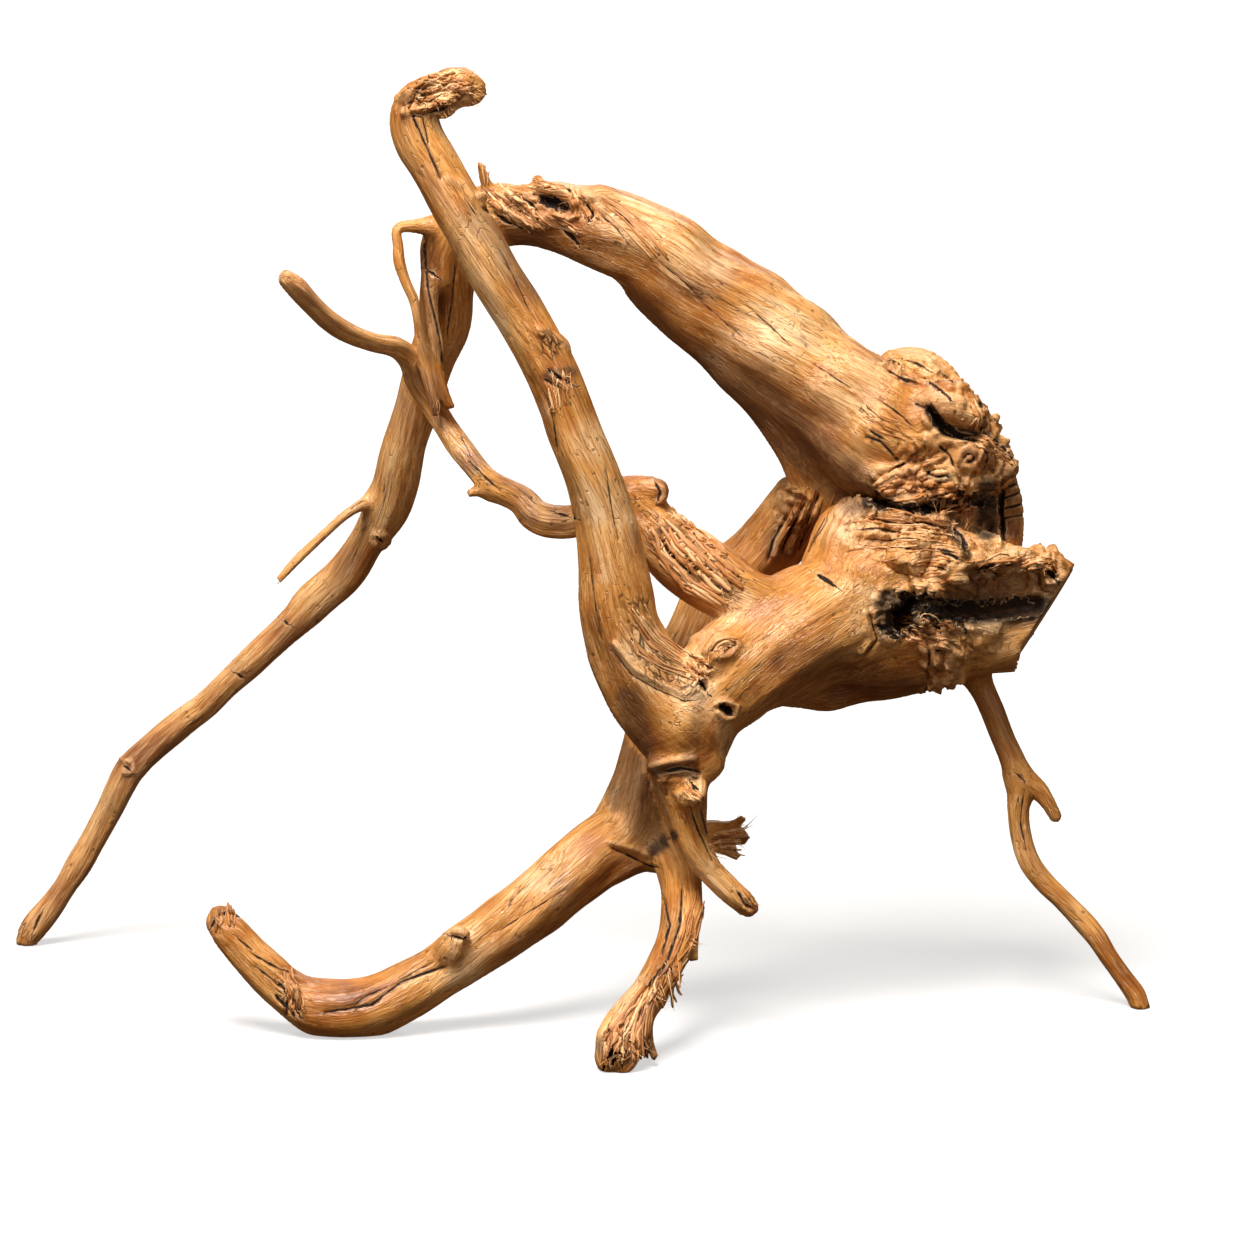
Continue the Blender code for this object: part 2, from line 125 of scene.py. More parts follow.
camera = put("camera", bpy.data.cameras.new("camera"))
camera.data.sensor_width = SENSOR_MM
camera.data.lens = EYE_DISTANCE * SENSOR_MM / (FRAME_PX * PIXEL)
camera.data.clip_end = FARTHEST
camera.location = EYE
camera.rotation_euler = (math.pi / 2 - EYE_PITCH, 0, 0)
scene.camera = camera
print("lens:", round(camera.data.lens), "mm")

# %% [markdown]
# ## Studio
#
# The picture is a high-key product shot: near-white paper, one big soft light overhead that makes the
# tops of the limbs cream-coloured and their undersides brown, weak ones from both front sides and one
# from behind. Large area lights give soft shadows. The camera doesn't see the lights themselves, so
# that views from other sides stay clean. The paper glows, and more so further out, so that its edges
# go white and only its middle holds a shadow. It throws no light back up: the photograph's undersides
# are deep brown, so the little light that reaches them comes from a warm surround.

# %% Colours, and the one helper that adds a node


def linear(hex_colour):
    """sRGB hex to linear: a channel c is c / 12.92, or ((c + 0.055) / 1.055) ** 2.4 above 0.04045."""
    channels = np.array([int(hex_colour[i : i + 2], 16) / 255 for i in (1, 3, 5)])
    curved = ((channels + 0.055) / 1.055) ** 2.4
    return (*np.where(channels <= 0.04045, channels / 12.92, curved).tolist(), 1)


def add(tree, kind, inputs=(), output=0, **settings):
    """A node with its settings. Its inputs, in order or by key, get values or links; gives one output."""
    made = tree.nodes.new("ShaderNode" + kind)
    for key, value in settings.items():
        setattr(made, key, value)
    for key, value in inputs.items() if isinstance(inputs, dict) else enumerate(inputs):
        if isinstance(value, bpy.types.NodeSocket):
            tree.links.new(value, made.inputs[key])
        else:
            made.inputs[key].default_value = value
    return made.outputs[output]


def new_material(name, **values):
    """A node material with these plain values in its Principled shader, its tree and that shader."""
    material = bpy.data.materials.new(name)
    material.use_nodes = True
    shader = material.node_tree.nodes["Principled BSDF"]
    for key, value in values.items():
        shader.inputs[key.replace("_", " ")].default_value = value
    return material, material.node_tree, shader


print("mid grey in linear values:", np.round(linear("#808080"), 3))

# %% Paper, lights and surround
# (name, place in metres, width in metres, power in watts)
LIGHTS = [
    ("overhead", (-0.30, -0.75, 1.80), 0.9, 72),
    ("front_left", (-1.6, -1.5, 0.7), 1.0, 12),
    ("front_right", (1.6, -1.6, 0.9), 1.0, 7),
    ("back", (0.3, 1.8, 1.4), 1.2, 18),
]
LAMP_COLOUR = "#FFF9F2"
SURROUND = 0.11
PAPER_HALF = 8.0
PAPER_DROP = 0.2 * MM
# metres from the middle where the glow starts and stops growing, and its strength there
PAPER_GLOW = (0.3, 2.2, 0.56, 0.95)

paper, tree, shader = new_material(
    "white_paper_sweep", Base_Color=linear("#A2A4A6"), Roughness=0.9, Specular_IOR_Level=0.1,
    Emission_Color=linear("#FFFFFF"),
)
object_place = add(tree, "TexCoord", output="Object")
from_middle = add(tree, "VectorMath", (object_place,), "Value", operation="LENGTH")
glow = add(tree, "MapRange", (from_middle, *PAPER_GLOW))
tree.links.new(glow, shader.inputs["Emission Strength"])

paper_mesh = bpy.data.meshes.new("floor")
signs = ((-1, -1), (1, -1), (1, 1), (-1, 1))
paper_corners = [(x * PAPER_HALF, y * PAPER_HALF, -PAPER_DROP) for x, y in signs]
paper_mesh.from_pydata(paper_corners, [], [(0, 1, 2, 3)])
paper_mesh.materials.append(paper)
floor = put("floor", paper_mesh)
floor.visible_diffuse = floor.visible_glossy = False
floor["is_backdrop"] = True

for name, where, width, power in LIGHTS:
    lamp = put(name, bpy.data.lights.new(name, "AREA"))
    lamp.data.size = width
    lamp.data.energy = power
    lamp.data.color = linear(LAMP_COLOUR)[:3]
    lamp.location = where
    lamp.rotation_euler = (Vector(AIM) - Vector(where)).to_track_quat("-Z", "Y").to_euler()
    lamp.visible_camera = False

scene.world = bpy.data.worlds.new("white_room")
scene.world.use_nodes = True
surround = scene.world.node_tree.nodes["Background"].inputs
surround["Color"].default_value = linear("#F0C090")
surround["Strength"].default_value = SURROUND
scene.view_settings.view_transform = "Standard"
print("lights:", len(LIGHTS))

# %% [markdown]
# ## The routes of the limbs
#
# A root thickens and thins as it goes round stones, so each limb is a list of stations: (across,
# down, depth, radius). The first two are pixels of the picture, the others millimetres. The same
# stations made the solid that this model stands for, so the two have one shape.

# %% Stations of the big limbs and the twigs
LEFT_ARCH = [
    (981, 460, -5, 9.4), (965, 454, -5, 12.8), (936, 447, -5, 17.6), (890, 439, -4, 21),
    (828, 388, -2, 19), (767, 340, 0, 18), (692, 285, 2, 16.8), (657, 254, 3, 15.2),
    (624, 236, 4, 13.8), (569, 218, 6, 11.5), (530, 215, 8, 9.8), (500, 215, 10, 9.9),
    (470, 222, 13, 10.3), (452, 246, 17, 10.2), (449, 280, 21, 9.3), (445, 320, 25, 8.4),
    (433, 360, 29, 7.5), (420, 400, 33, 7.2), (408, 440, 37, 7.6), (397, 480, 41, 7.6),
    (386, 508, 44, 7.2), (366, 540, 48, 6.3), (344, 574, 51, 6.2), (315, 600, 53, 6.1),
    (295, 620, 54, 5.1), (252, 660, 57, 4.5), (228, 682, 58, 4.2), (205, 704, 60, 4.5),
    (181, 722, 61, 5.0), (157, 742, 62, 4.9), (132, 766, 63, 5.3), (121, 785, 63, 5.0),
    (109, 811, 64, 4.5), (92, 843, 65, 4.1), (80, 864, 65, 4.3), (65, 887, 65, 3.8),
    (50, 908, 65, 4.1), (34, 928, 65, 4.2), (28, 938, 65, 3.4),
]
ARCH_KEEL = [
    (660, 296, -2, 4), (690, 329, -3, 5.4), (728, 367, -5, 6.4), (765, 405, -5, 6.8),
    (797, 441, -3, 7.8), (820, 476, 3, 9), (850, 512, 6, 11),
]
ARCH_TORN_RIDGE = [
    (598, 200, 0, 5), (572, 202, -1, 4.6), (545, 196, 3, 3.4), (540, 186, 5, 1.8), (538, 179, 6, 1.2),
]
ARCH_SPIKE = [(503, 204, 8, 3), (491, 192, 6, 2.0), (484, 178, 4, 1.4), (481, 166, 3, 1.1)]
FRONT_LIMB = [
    (468, 90, -43, 4.6), (456, 90, -44, 5.3), (438, 95, -46, 6.3), (420, 103, -47, 7.4),
    (414, 120, -48, 7.6), (420, 142, -49, 7.8), (432, 162, -50, 7.8), (454, 201, -52, 7.8),
    (477, 241, -54, 8.2), (500, 281, -56, 8.3), (525, 321, -57, 8.3), (546, 361, -58, 8.2),
    (562, 400, -59, 8.3), (576, 440, -59, 8.5), (592, 480, -59, 8.7), (604, 520, -58, 9.2),
    (611, 562, -58, 10.2), (617, 602, -57, 11.9), (626, 642, -56, 12.8), (647, 685, -54, 14.3),
    (678, 715, -52, 16),
]
TRUNK = [
    (680, 714, -52, 15.5), (706, 696, -50, 15.6), (742, 667, -47, 17), (790, 637, -39, 19.3),
    (840, 617, -29, 20.5), (890, 600, -19, 26.3), (930, 598, -15, 26), (972, 611, -12, 20.4),
    (1012, 609, -10, 19.4), (1038, 604, -9, 17),
]
CROWN_SHOULDER = [(838, 560, -24, 11), (852, 530, -20, 10.5), (880, 542, -17, 12), (930, 545, -14, 12)]
CROWN_UNDERSIDE = [
    (770, 674, -24, 8.4), (800, 671, -15, 10.8), (850, 667, -8, 10.8), (915, 662, -5, 9.4),
    (975, 650, -2, 8),
]
CROWN_BACK = [(830, 500, 8, 12), (880, 520, 8, 16), (930, 520, 8, 16), (970, 515, 8, 11), (990, 512, 7, 7.6)]
CROWN_PLANK = [(988, 556, 0, 8), (1006, 534, 4, 5.2), (1010, 505, 6, 4.4), (1006, 482, 6, 3.8)]
CROWN_FLAP = [(955, 556, -26, 5), (990, 556, -25, 4.4), (1020, 559, -22, 4.2), (1050, 567, -17, 4.2)]
CROWN_CAP = [(868, 400, 8, 8), (903, 385, 10, 9.8), (926, 388, 8, 9.2), (946, 405, 3, 8)]
CROWN_ROLL = [(920, 414, -14, 8.6), (946, 404, -17, 7.2), (966, 410, -16, 5.8)]
BENT_BRANCH = [
    (760, 606, -42, 9), (721, 584, -39, 10.6), (689, 564, -35, 11.2), (665, 541, -32, 9.7),
    (644, 515, -30, 7.8), (622, 500, -29, 6.7), (600, 508, -29, 5.4), (577, 521, -29, 5.2),
    (555, 522, -27, 5.2), (536, 515, -24, 5.0), (521, 500, -20, 4.4), (500, 489, -14, 4.3),
    (482, 475, -8, 4.0), (461, 449, 0, 4.2), (445, 425, 5, 3.8), (431, 401, 8, 3.8),
    (417, 379, 6, 3.7), (409, 360, 2, 3.6), (396, 348, -3, 3.5), (374, 343, -10, 3.3),
    (349, 333, -18, 3.4), (329, 320, -24, 3.4), (311, 303, -29, 3.6), (298, 289, -33, 3.5),
    (289, 281, -35, 2.8),
]
BRANCH_KNUCKLE = [(625, 500, -29, 6), (640, 491, -30, 4.6), (653, 491, -32, 4.3)]
BRANCH_THORN = [(492, 492, -12, 2.4), (480, 491, -13, 1.6), (471, 493, -14, 1.2)]
BACK_LIMB = [
    (840, 486, 6, 12), (803, 507, 11, 11.4), (764, 547, 11, 11.3), (724, 588, 8, 11.2),
    (698, 632, 2, 10.8), (671, 690, -6, 10.2), (653, 745, -13, 9.4), (642, 790, -20, 9.2),
    (624, 836, -28, 11.4), (589, 860, -35, 11.2), (545, 893, -42, 11), (510, 924, -47, 10.4),
    (476, 949, -50, 9.4), (433, 977, -53, 8.6), (391, 1000, -56, 9.3), (350, 1009, -57, 9.3),
    (314, 1006, -57, 8.3), (283, 990, -55, 7.2), (253, 962, -53, 6.5), (233, 939, -51, 5.8),
    (222, 925, -50, 4.9),
]
BACK_LIMB_BELLY = [(374, 1008, -56, 8.3), (346, 1013, -57, 8.3), (320, 1010, -57, 7.6)]
BACK_LIMB_KNOT = [(452, 948, -58, 4.6), (459, 936, -60, 2.6)]
FRONT_FOOT = [
    (645, 845, -28, 9), (669, 855, -34, 7), (680, 880, -44, 7.2), (681, 907, -54, 7.0),
    (676, 936, -65, 6.6), (664, 966, -76, 6.3), (648, 991, -85, 6.3), (632, 1013, -92, 6.7),
    (621, 1037, -98, 7.1), (617, 1054, -102, 6.6),
]
FOOT_SPLINTERS = [
    [(640, 1020, -93, 3), (648, 1040, -96, 1.5), (654, 1055, -99, 1.1)],
    [(676, 945, -64, 3), (690, 945, -65, 1.5), (694, 958, -68, 1.1)],
]
SPUR = [
    (690, 724, -52, 14), (684, 758, -54, 10), (682, 780, -56, 8.8), (684, 802, -57, 7.4),
    (688, 826, -58, 6.0), (697, 849, -59, 5.1), (711, 870, -60, 4.4), (727, 887, -61, 4.1),
    (740, 899, -62, 3.6), (748, 906, -62, 2.8),
]
SPUR_KNOB = [(686, 785, -60, 5), (693, 793, -66, 3.9)]
SPUR_LEDGE = [(690, 752, -60, 7), (664, 764, -62, 4.6)]
TORN_STUB = [
    [(655, 826, -27, 5), (700, 832, -31, 3.2), (722, 834, -33, 2.6), (740, 837, -34, 2.0)],
    [(712, 830, -33, 2.4), (731, 826, -34, 1.4), (742, 819, -35, 1.1)],
    [(700, 840, -31, 3), (722, 849, -33, 1.6), (736, 856, -34, 1.2)],
]
RIGHT_LEG = [
    (950, 630, 0, 7), (977, 679, 0, 4.6), (990, 706, -2, 4.1), (1001, 735, -4, 3.8),
    (1013, 763, -6, 4.0), (1020, 786, -7, 4.2), (1018, 809, -9, 3.5), (1021, 835, -10, 3.4),
    (1029, 861, -12, 3.5), (1043, 881, -13, 3.5), (1062, 900, -15, 3.4), (1080, 919, -16, 3.5),
    (1096, 938, -18, 3.4), (1108, 957, -19, 3.2), (1122, 977, -20, 3.1), (1134, 994, -21, 3.3),
    (1139, 1006, -22, 3.1),
]
LEG_STUB = [(1020, 780, -7, 3.6), (1037, 788, -8, 2.9), (1047, 801, -9, 2.5), (1054, 814, -9, 2.1)]
OUTER_STRAND = [
    (445, 228, 12, 4), (420, 226, 9, 2.4), (398, 229, 6, 1.7), (398, 247, 5, 1.8), (399, 262, 4, 2.0),
    (405, 281, 3, 1.7), (413, 299, 2, 1.7), (417, 316, 1, 1.5), (420, 333, 1, 1.7), (424, 352, 0, 2.0),
    (429, 376, -1, 2.0), (434, 400, -2, 1.6), (436, 413, -2, 1.1),
]
INNER_STRAND = [
    (440, 272, 14, 4.5), (431, 290, 10, 2.8), (432, 320, 7, 2.3), (436, 345, 4, 2.3),
    (437, 370, 2, 2.2), (442, 390, 0, 1.9), (449, 404, -1, 1.4),
]
NEEDLE_TWIG = [
    (372, 500, 42, 2.2), (358, 507, 37, 1.7), (343, 517, 35, 1.5), (319, 539, 33, 1.5),
    (297, 560, 31, 1.5), (280, 579, 30, 1.1),
]
print("stations in the longest limb:", len(LEFT_ARCH))

# %% Every limb, with how deeply the weather has fluted it
# Round lumps that stand out of the crown, the trunk and the arch, each (across, down, depth, radius).
BURLS = [
    (908, 556, -40, 5), (944, 565, -37, 6), (925, 585, -41, 3.6), (922, 611, -42, 4.2),
    (952, 612, -36, 4.2), (942, 641, -34, 5), (968, 638, -29, 5), (946, 668, -26, 5), (868, 540, -31, 5),
    (846, 545, -30, 4.4), (893, 520, -25, 5), (925, 522, -23, 5.4), (862, 572, -38, 5), (967, 454, -19, 5),
    (900, 484, -20, 5.5), (932, 478, -19, 5), (878, 474, -20, 5), (965, 476, -15, 5), (700, 765, -60, 5.6),
    (722, 648, -58, 5.5), (455, 84, -44, 4.6),
]
BURL_LENGTH_PX = 3
LIMBS = [
    (LEFT_ARCH, 1.0), (ARCH_KEEL, 1.6), (ARCH_TORN_RIDGE, 2.0), (ARCH_SPIKE, 0.5), (FRONT_LIMB, 0.7),
    (TRUNK, 0.8), (CROWN_SHOULDER, 1.6), (CROWN_UNDERSIDE, 1.5), (CROWN_BACK, 1.6), (CROWN_PLANK, 1.5),
    (CROWN_FLAP, 1.5), (CROWN_CAP, 1.5), (CROWN_ROLL, 1.0), (BENT_BRANCH, 1.2), (BRANCH_KNUCKLE, 0.8),
    (BRANCH_THORN, 0.5), (BACK_LIMB, 1.1), (BACK_LIMB_BELLY, 0.4), (BACK_LIMB_KNOT, 1.0),
    (FRONT_FOOT, 1.3), (SPUR, 1.0),
    (SPUR_KNOB, 1.0), (SPUR_LEDGE, 1.0), (RIGHT_LEG, 0.8), (LEG_STUB, 0.8), (OUTER_STRAND, 0.8),
    (INNER_STRAND, 1.0), (NEEDLE_TWIG, 0.6), *((splinter, 0.5) for splinter in FOOT_SPLINTERS),
    *((splinter, 1.0) for splinter in TORN_STUB),
    *(([burl, (burl[0] + BURL_LENGTH_PX, *burl[1:])], 1.2) for burl in BURLS),
]

# What has rotted out of the crown: the hollow in its front and the slot under the arch's root.
CROWN_HOLLOW = [
    (893, 616, -40, 5.5), (925, 602, -36, 8), (975, 594, -32, 9), (1030, 590, -30, 9.5),
    (1100, 588, -30, 10),
]
CROWN_SLOT = [
    (872, 497, -34, 3.5), (905, 508, -26, 3.5), (945, 508, -20, 5), (990, 514, -14, 9), (1050, 512, -12, 12),
]
HOLLOWS = [CROWN_HOLLOW, CROWN_SLOT]

# The sawn end of the crown: a point on the cut, the way that its face looks, and its reach.
SAW_POINT = (1049, 607, -10)
SAW_FACES = np.array([0.84, -0.18, -0.51])
SAW_BOX = 44 * MM
print(len(LIMBS), "limbs and lumps,", len(HOLLOWS), "hollows")

# %% [markdown]
# ## Tubes
#
# A tube is a surface of two parameters: how far along the route, and how far round it. The route
# itself is a Catmull-Rom curve, which passes through every station. A side direction is carried along
# the curve without twisting, so that the rings of points line up. The ends are rounded like worn wood.

# %% A route as a smooth curve, and the tube round it
RING_SIDES = 20
STATION_STEP = 1.5 * MM
FIRST_SIDE = (0.3, 0.5, 0.8)
DOME_RISES = (math.radians(30), math.radians(60))


def smooth_route(stations):
    """Centres and radii a step apart: the cubic from b to c with slopes (c - a) / 2 and (d - b) / 2."""
    knots = np.array([[*place(*s[:3]), s[3] * MM] for s in stations])
    knots = np.vstack([2 * knots[0] - knots[1], knots, 2 * knots[-1] - knots[-2]])
    pieces = []
    for a, b, c, d in zip(knots[:-3], knots[1:-2], knots[2:-1], knots[3:]):
        count = max(2, round(np.linalg.norm(c[:3] - b[:3]) / STATION_STEP))
        t = np.arange(count)[:, None] / count
        pieces.append(b + 0.5 * t * (c - a + t * (2 * a - 5 * b + 4 * c - d + t * (3 * (b - c) + d - a))))
    route = np.vstack([*pieces, knots[-2:-1]])
    low = min(s[3] for s in stations) * MM
    return route[:, :3], np.maximum(route[:, 3], low)


def carried_frame(centres):
    """Unit vectors along the route and two across it: the last side, less its part along the new way."""
    along = np.gradient(centres, axis=0)
    along /= np.linalg.norm(along, axis=1)[:, None]
    first = np.cross(along[0], FIRST_SIDE)
    across = [first / np.linalg.norm(first)]
    for way in along[1:]:
        side = across[-1] - way * (across[-1] @ way)
        across.append(side / np.linalg.norm(side))
    across = np.array(across)
    return along, across, np.cross(along, across)


def lathe_faces(rings, sides, first=0):
    """Quads between neighbouring rings of a closed tube, as an array of corner numbers."""
    ring, side = np.meshgrid(np.arange(rings - 1), np.arange(sides), indexing="ij")
    here, after = ring * sides + side, ring * sides + (side + 1) % sides
    return first + np.stack([here, after, after + sides, here + sides], axis=-1).reshape(-1, 4)


def tube(stations):
    """Points centre + radius * (side cos v + other side sin v), with domed ends, and their faces."""
    centres, radii = smooth_route(stations)
    along, across, other = carried_frame(centres)
    turn = np.arange(RING_SIDES) * 2 * math.pi / RING_SIDES
    spokes = across[:, None] * np.cos(turn)[:, None] + other[:, None] * np.sin(turn)[:, None]
    rings = [*(centres[:, None] + spokes * radii[:, None, None])]
    for rise in DOME_RISES:
        ahead = along * (radii * math.sin(rise))[:, None]
        narrower = spokes * (radii * math.cos(rise))[:, None, None]
        rings.insert(0, centres[0] - ahead[0] + narrower[0])
        rings.append(centres[-1] + ahead[-1] + narrower[-1])
    ends = [range(RING_SIDES)[::-1], range((len(rings) - 1) * RING_SIDES, len(rings) * RING_SIDES)]
    return np.vstack(rings), lathe_faces(len(rings), RING_SIDES).tolist() + [list(end) for end in ends]


def new_object(name, shells):
    """One mesh object, at the origin, that holds these (points, faces) shells."""
    points, faces = [], []
    for shell_points, shell_faces in shells:
        start = sum(map(len, points))
        points.append(shell_points)
        faces += [[start + corner for corner in face] for face in shell_faces]
    mesh = bpy.data.meshes.new(name)
    mesh.from_pydata(np.vstack(points), [], faces)
    return put(name, mesh)


print("points in the front limb's tube:", len(tube(FRONT_LIMB)[0]))

# %% [markdown]
# ## Growing the limbs together
#
# Overlapping tubes aren't wood yet. A voxel remesh wraps them in one closed skin of small even faces,
# the rotted hollows and the saw cut are taken out with booleans, and a second remesh evens the skin
# again. Metaballs would blend limbs too, but they can't hold a long taper.

# %% The rough skin
SKIN_VOXEL = 0.72 * MM


def modify(made, kind, **settings):
    """Adds a modifier with its settings."""
    modifier = made.modifiers.new(kind.title(), kind)
    for key, value in settings.items():
        setattr(modifier, key, value)


def evaluated(made):
    """The object's mesh as its modifiers leave it; the object itself is removed."""
    graph = bpy.context.evaluated_depsgraph_get()
    mesh = bpy.data.meshes.new_from_object(made.evaluated_get(graph))
    bpy.data.objects.remove(made)
    return mesh


def saw_block():
    """A cube with one face on the saw cut and looking the way that the cut faces."""
    made = put("saw_cut", bpy.data.meshes.new("saw_cut"))
    shape = bmesh.new()
    bmesh.ops.create_cube(shape, size=SAW_BOX)
    shape.to_mesh(made.data)
    shape.free()
    made.rotation_euler = Vector(SAW_FACES).to_track_quat("Z", "Y").to_euler()
    made.location = place(*SAW_POINT) + SAW_FACES * SAW_BOX / 2
    return made


rough = new_object("rough", [tube(stations) for stations, _ in LIMBS])
modify(rough, "REMESH", mode="VOXEL", voxel_size=SKIN_VOXEL)
cutters = [new_object("hollow", [tube(hollow)]) for hollow in HOLLOWS] + [saw_block()]
for cutter in cutters:
    cutter.hide_render = True
    modify(rough, "BOOLEAN", operation="DIFFERENCE", solver="MANIFOLD", object=cutter)
modify(rough, "REMESH", mode="VOXEL", voxel_size=SKIN_VOXEL)
skin = evaluated(rough)
for cutter in cutters:
    bpy.data.objects.remove(cutter)
print("skin:", len(skin.vertices), "points")

# %% [markdown]
# ## Noise as whole arrays
#
# Weathering is irregular but not random from run to run, so it comes from gradient noise: each corner
# of a lattice holds a slope picked by scrambling the corner's numbers, and between corners the slopes'
# heights blend. Stretched noise makes fibres. Its absolute value makes sharp valleys with round backs
# between them, which is how weathered grain looks.

# %% Gradient noise with numpy
LATTICE = np.array([73856093, 19349663, 83492791])
SCRAMBLE = (0x2C1B3C6D, 0x297A2D39)
LOW_32_BITS = 0xFFFFFFFF
NOISE_GAIN = 1.4
SLOPES = np.array(
    [(x, y, 0) for x in (-1, 1) for y in (-1, 1)] * 2
    + [(x, 0, z) for x in (-1, 1) for z in (-1, 1)]
    + [(0, y, z) for y in (-1, 1) for z in (-1, 1)]
)


def rough_noise(spots, seed=0):
    """Noise from about -1 to 1: the corner slopes' heights, weighted by t^3 (6 t^2 - 15 t + 10) per side."""
    cell = np.floor(spots).astype(np.int64)
    within = spots - cell
    ease = within**3 * (within * (within * 6 - 15) + 10)
    total = np.zeros(spots.shape[:-1])
    for corner in np.ndindex(2, 2, 2):
        key = ((cell + corner) @ LATTICE + seed * SCRAMBLE[0]) & LOW_32_BITS
        for factor in SCRAMBLE:
            key = ((key ^ (key >> 15)) * factor) & LOW_32_BITS
        slope = SLOPES[(key ^ (key >> 13)) & 15]
        share = np.prod(np.where(corner, ease, 1 - ease), axis=-1)
        total += share * (slope * (within - corner)).sum(-1)
    return total * NOISE_GAIN


def smooth(low, high, value):
    """0 below low, 1 above high and t^2 (3 - 2 t) between."""
    t = np.clip((value - low) / (high - low), 0, 1)
    return t * t * (3 - 2 * t)


trial = rough_noise(np.random.default_rng(1).random((4000, 3)) * 50)
print("noise spread:", trial.std().round(2), "range:", trial.min().round(2), trial.max().round(2))

# %% [markdown]
# ## Relief that follows each limb
#
# Flutes, fibres and torn splinters all run along the limb and turn slowly round it. For each limb
# they are worked out once as maps over two parameters, the way round and the way along, and looked up
# from there. The flutes and knots are those of the solid. The fibres are finer than its faces could
# hold: 8 and 2.6 mm across and about eight times as long.

# %% A limb and its relief maps
REACH = 9 * MM
CHUNK = 8000
TINY = 1e-12
KNOT_LENGTH = 15 * MM
KNOT_DEPTH = 0.20
FLUTE_LENGTH = 60 * MM
FLUTES_ROUND = 1.5
FLUTE_DEPTH = 0.36
FLUTE_TWIST = 9.0
NOISE_STEP = 10
COARSE_COLUMNS = 48
FINE_COLUMNS = 256
# (width, length, height, seed), in millimetres, of each size of fibre, of the drying checks and of splinters
FIBRES = [(8.0, 60, 0.30, 1), (2.6, 24, 0.13, 2)]
CHECKS = (5.5, 60, 0.5, 3)
CHECK_HALF, CHECK_WHERE = 0.10, (0.1, 0.4)
SPLINTERS = (2.2, 14, 1.7, 4)
FULL_RELIEF_RADIUS = 8 * MM
VALLEY = 0.35


def looked_up(chart, turned, row):
    """The chart's value between its four nearest entries; columns go once round the limb."""
    column = turned / (2 * math.pi) * chart.shape[1]
    left, below = np.floor(column).astype(int), np.floor(row).astype(int).clip(0, len(chart) - 1)
    right_share, above_share = column - left, (row - below).clip(0, 1)
    above = (below + 1).clip(0, len(chart) - 1)
    near, far = left % chart.shape[1], (left + 1) % chart.shape[1]
    low = chart[below, near] * (1 - right_share) + chart[below, far] * right_share
    high = chart[above, near] * (1 - right_share) + chart[above, far] * right_share
    return low * (1 - above_share) + high * above_share


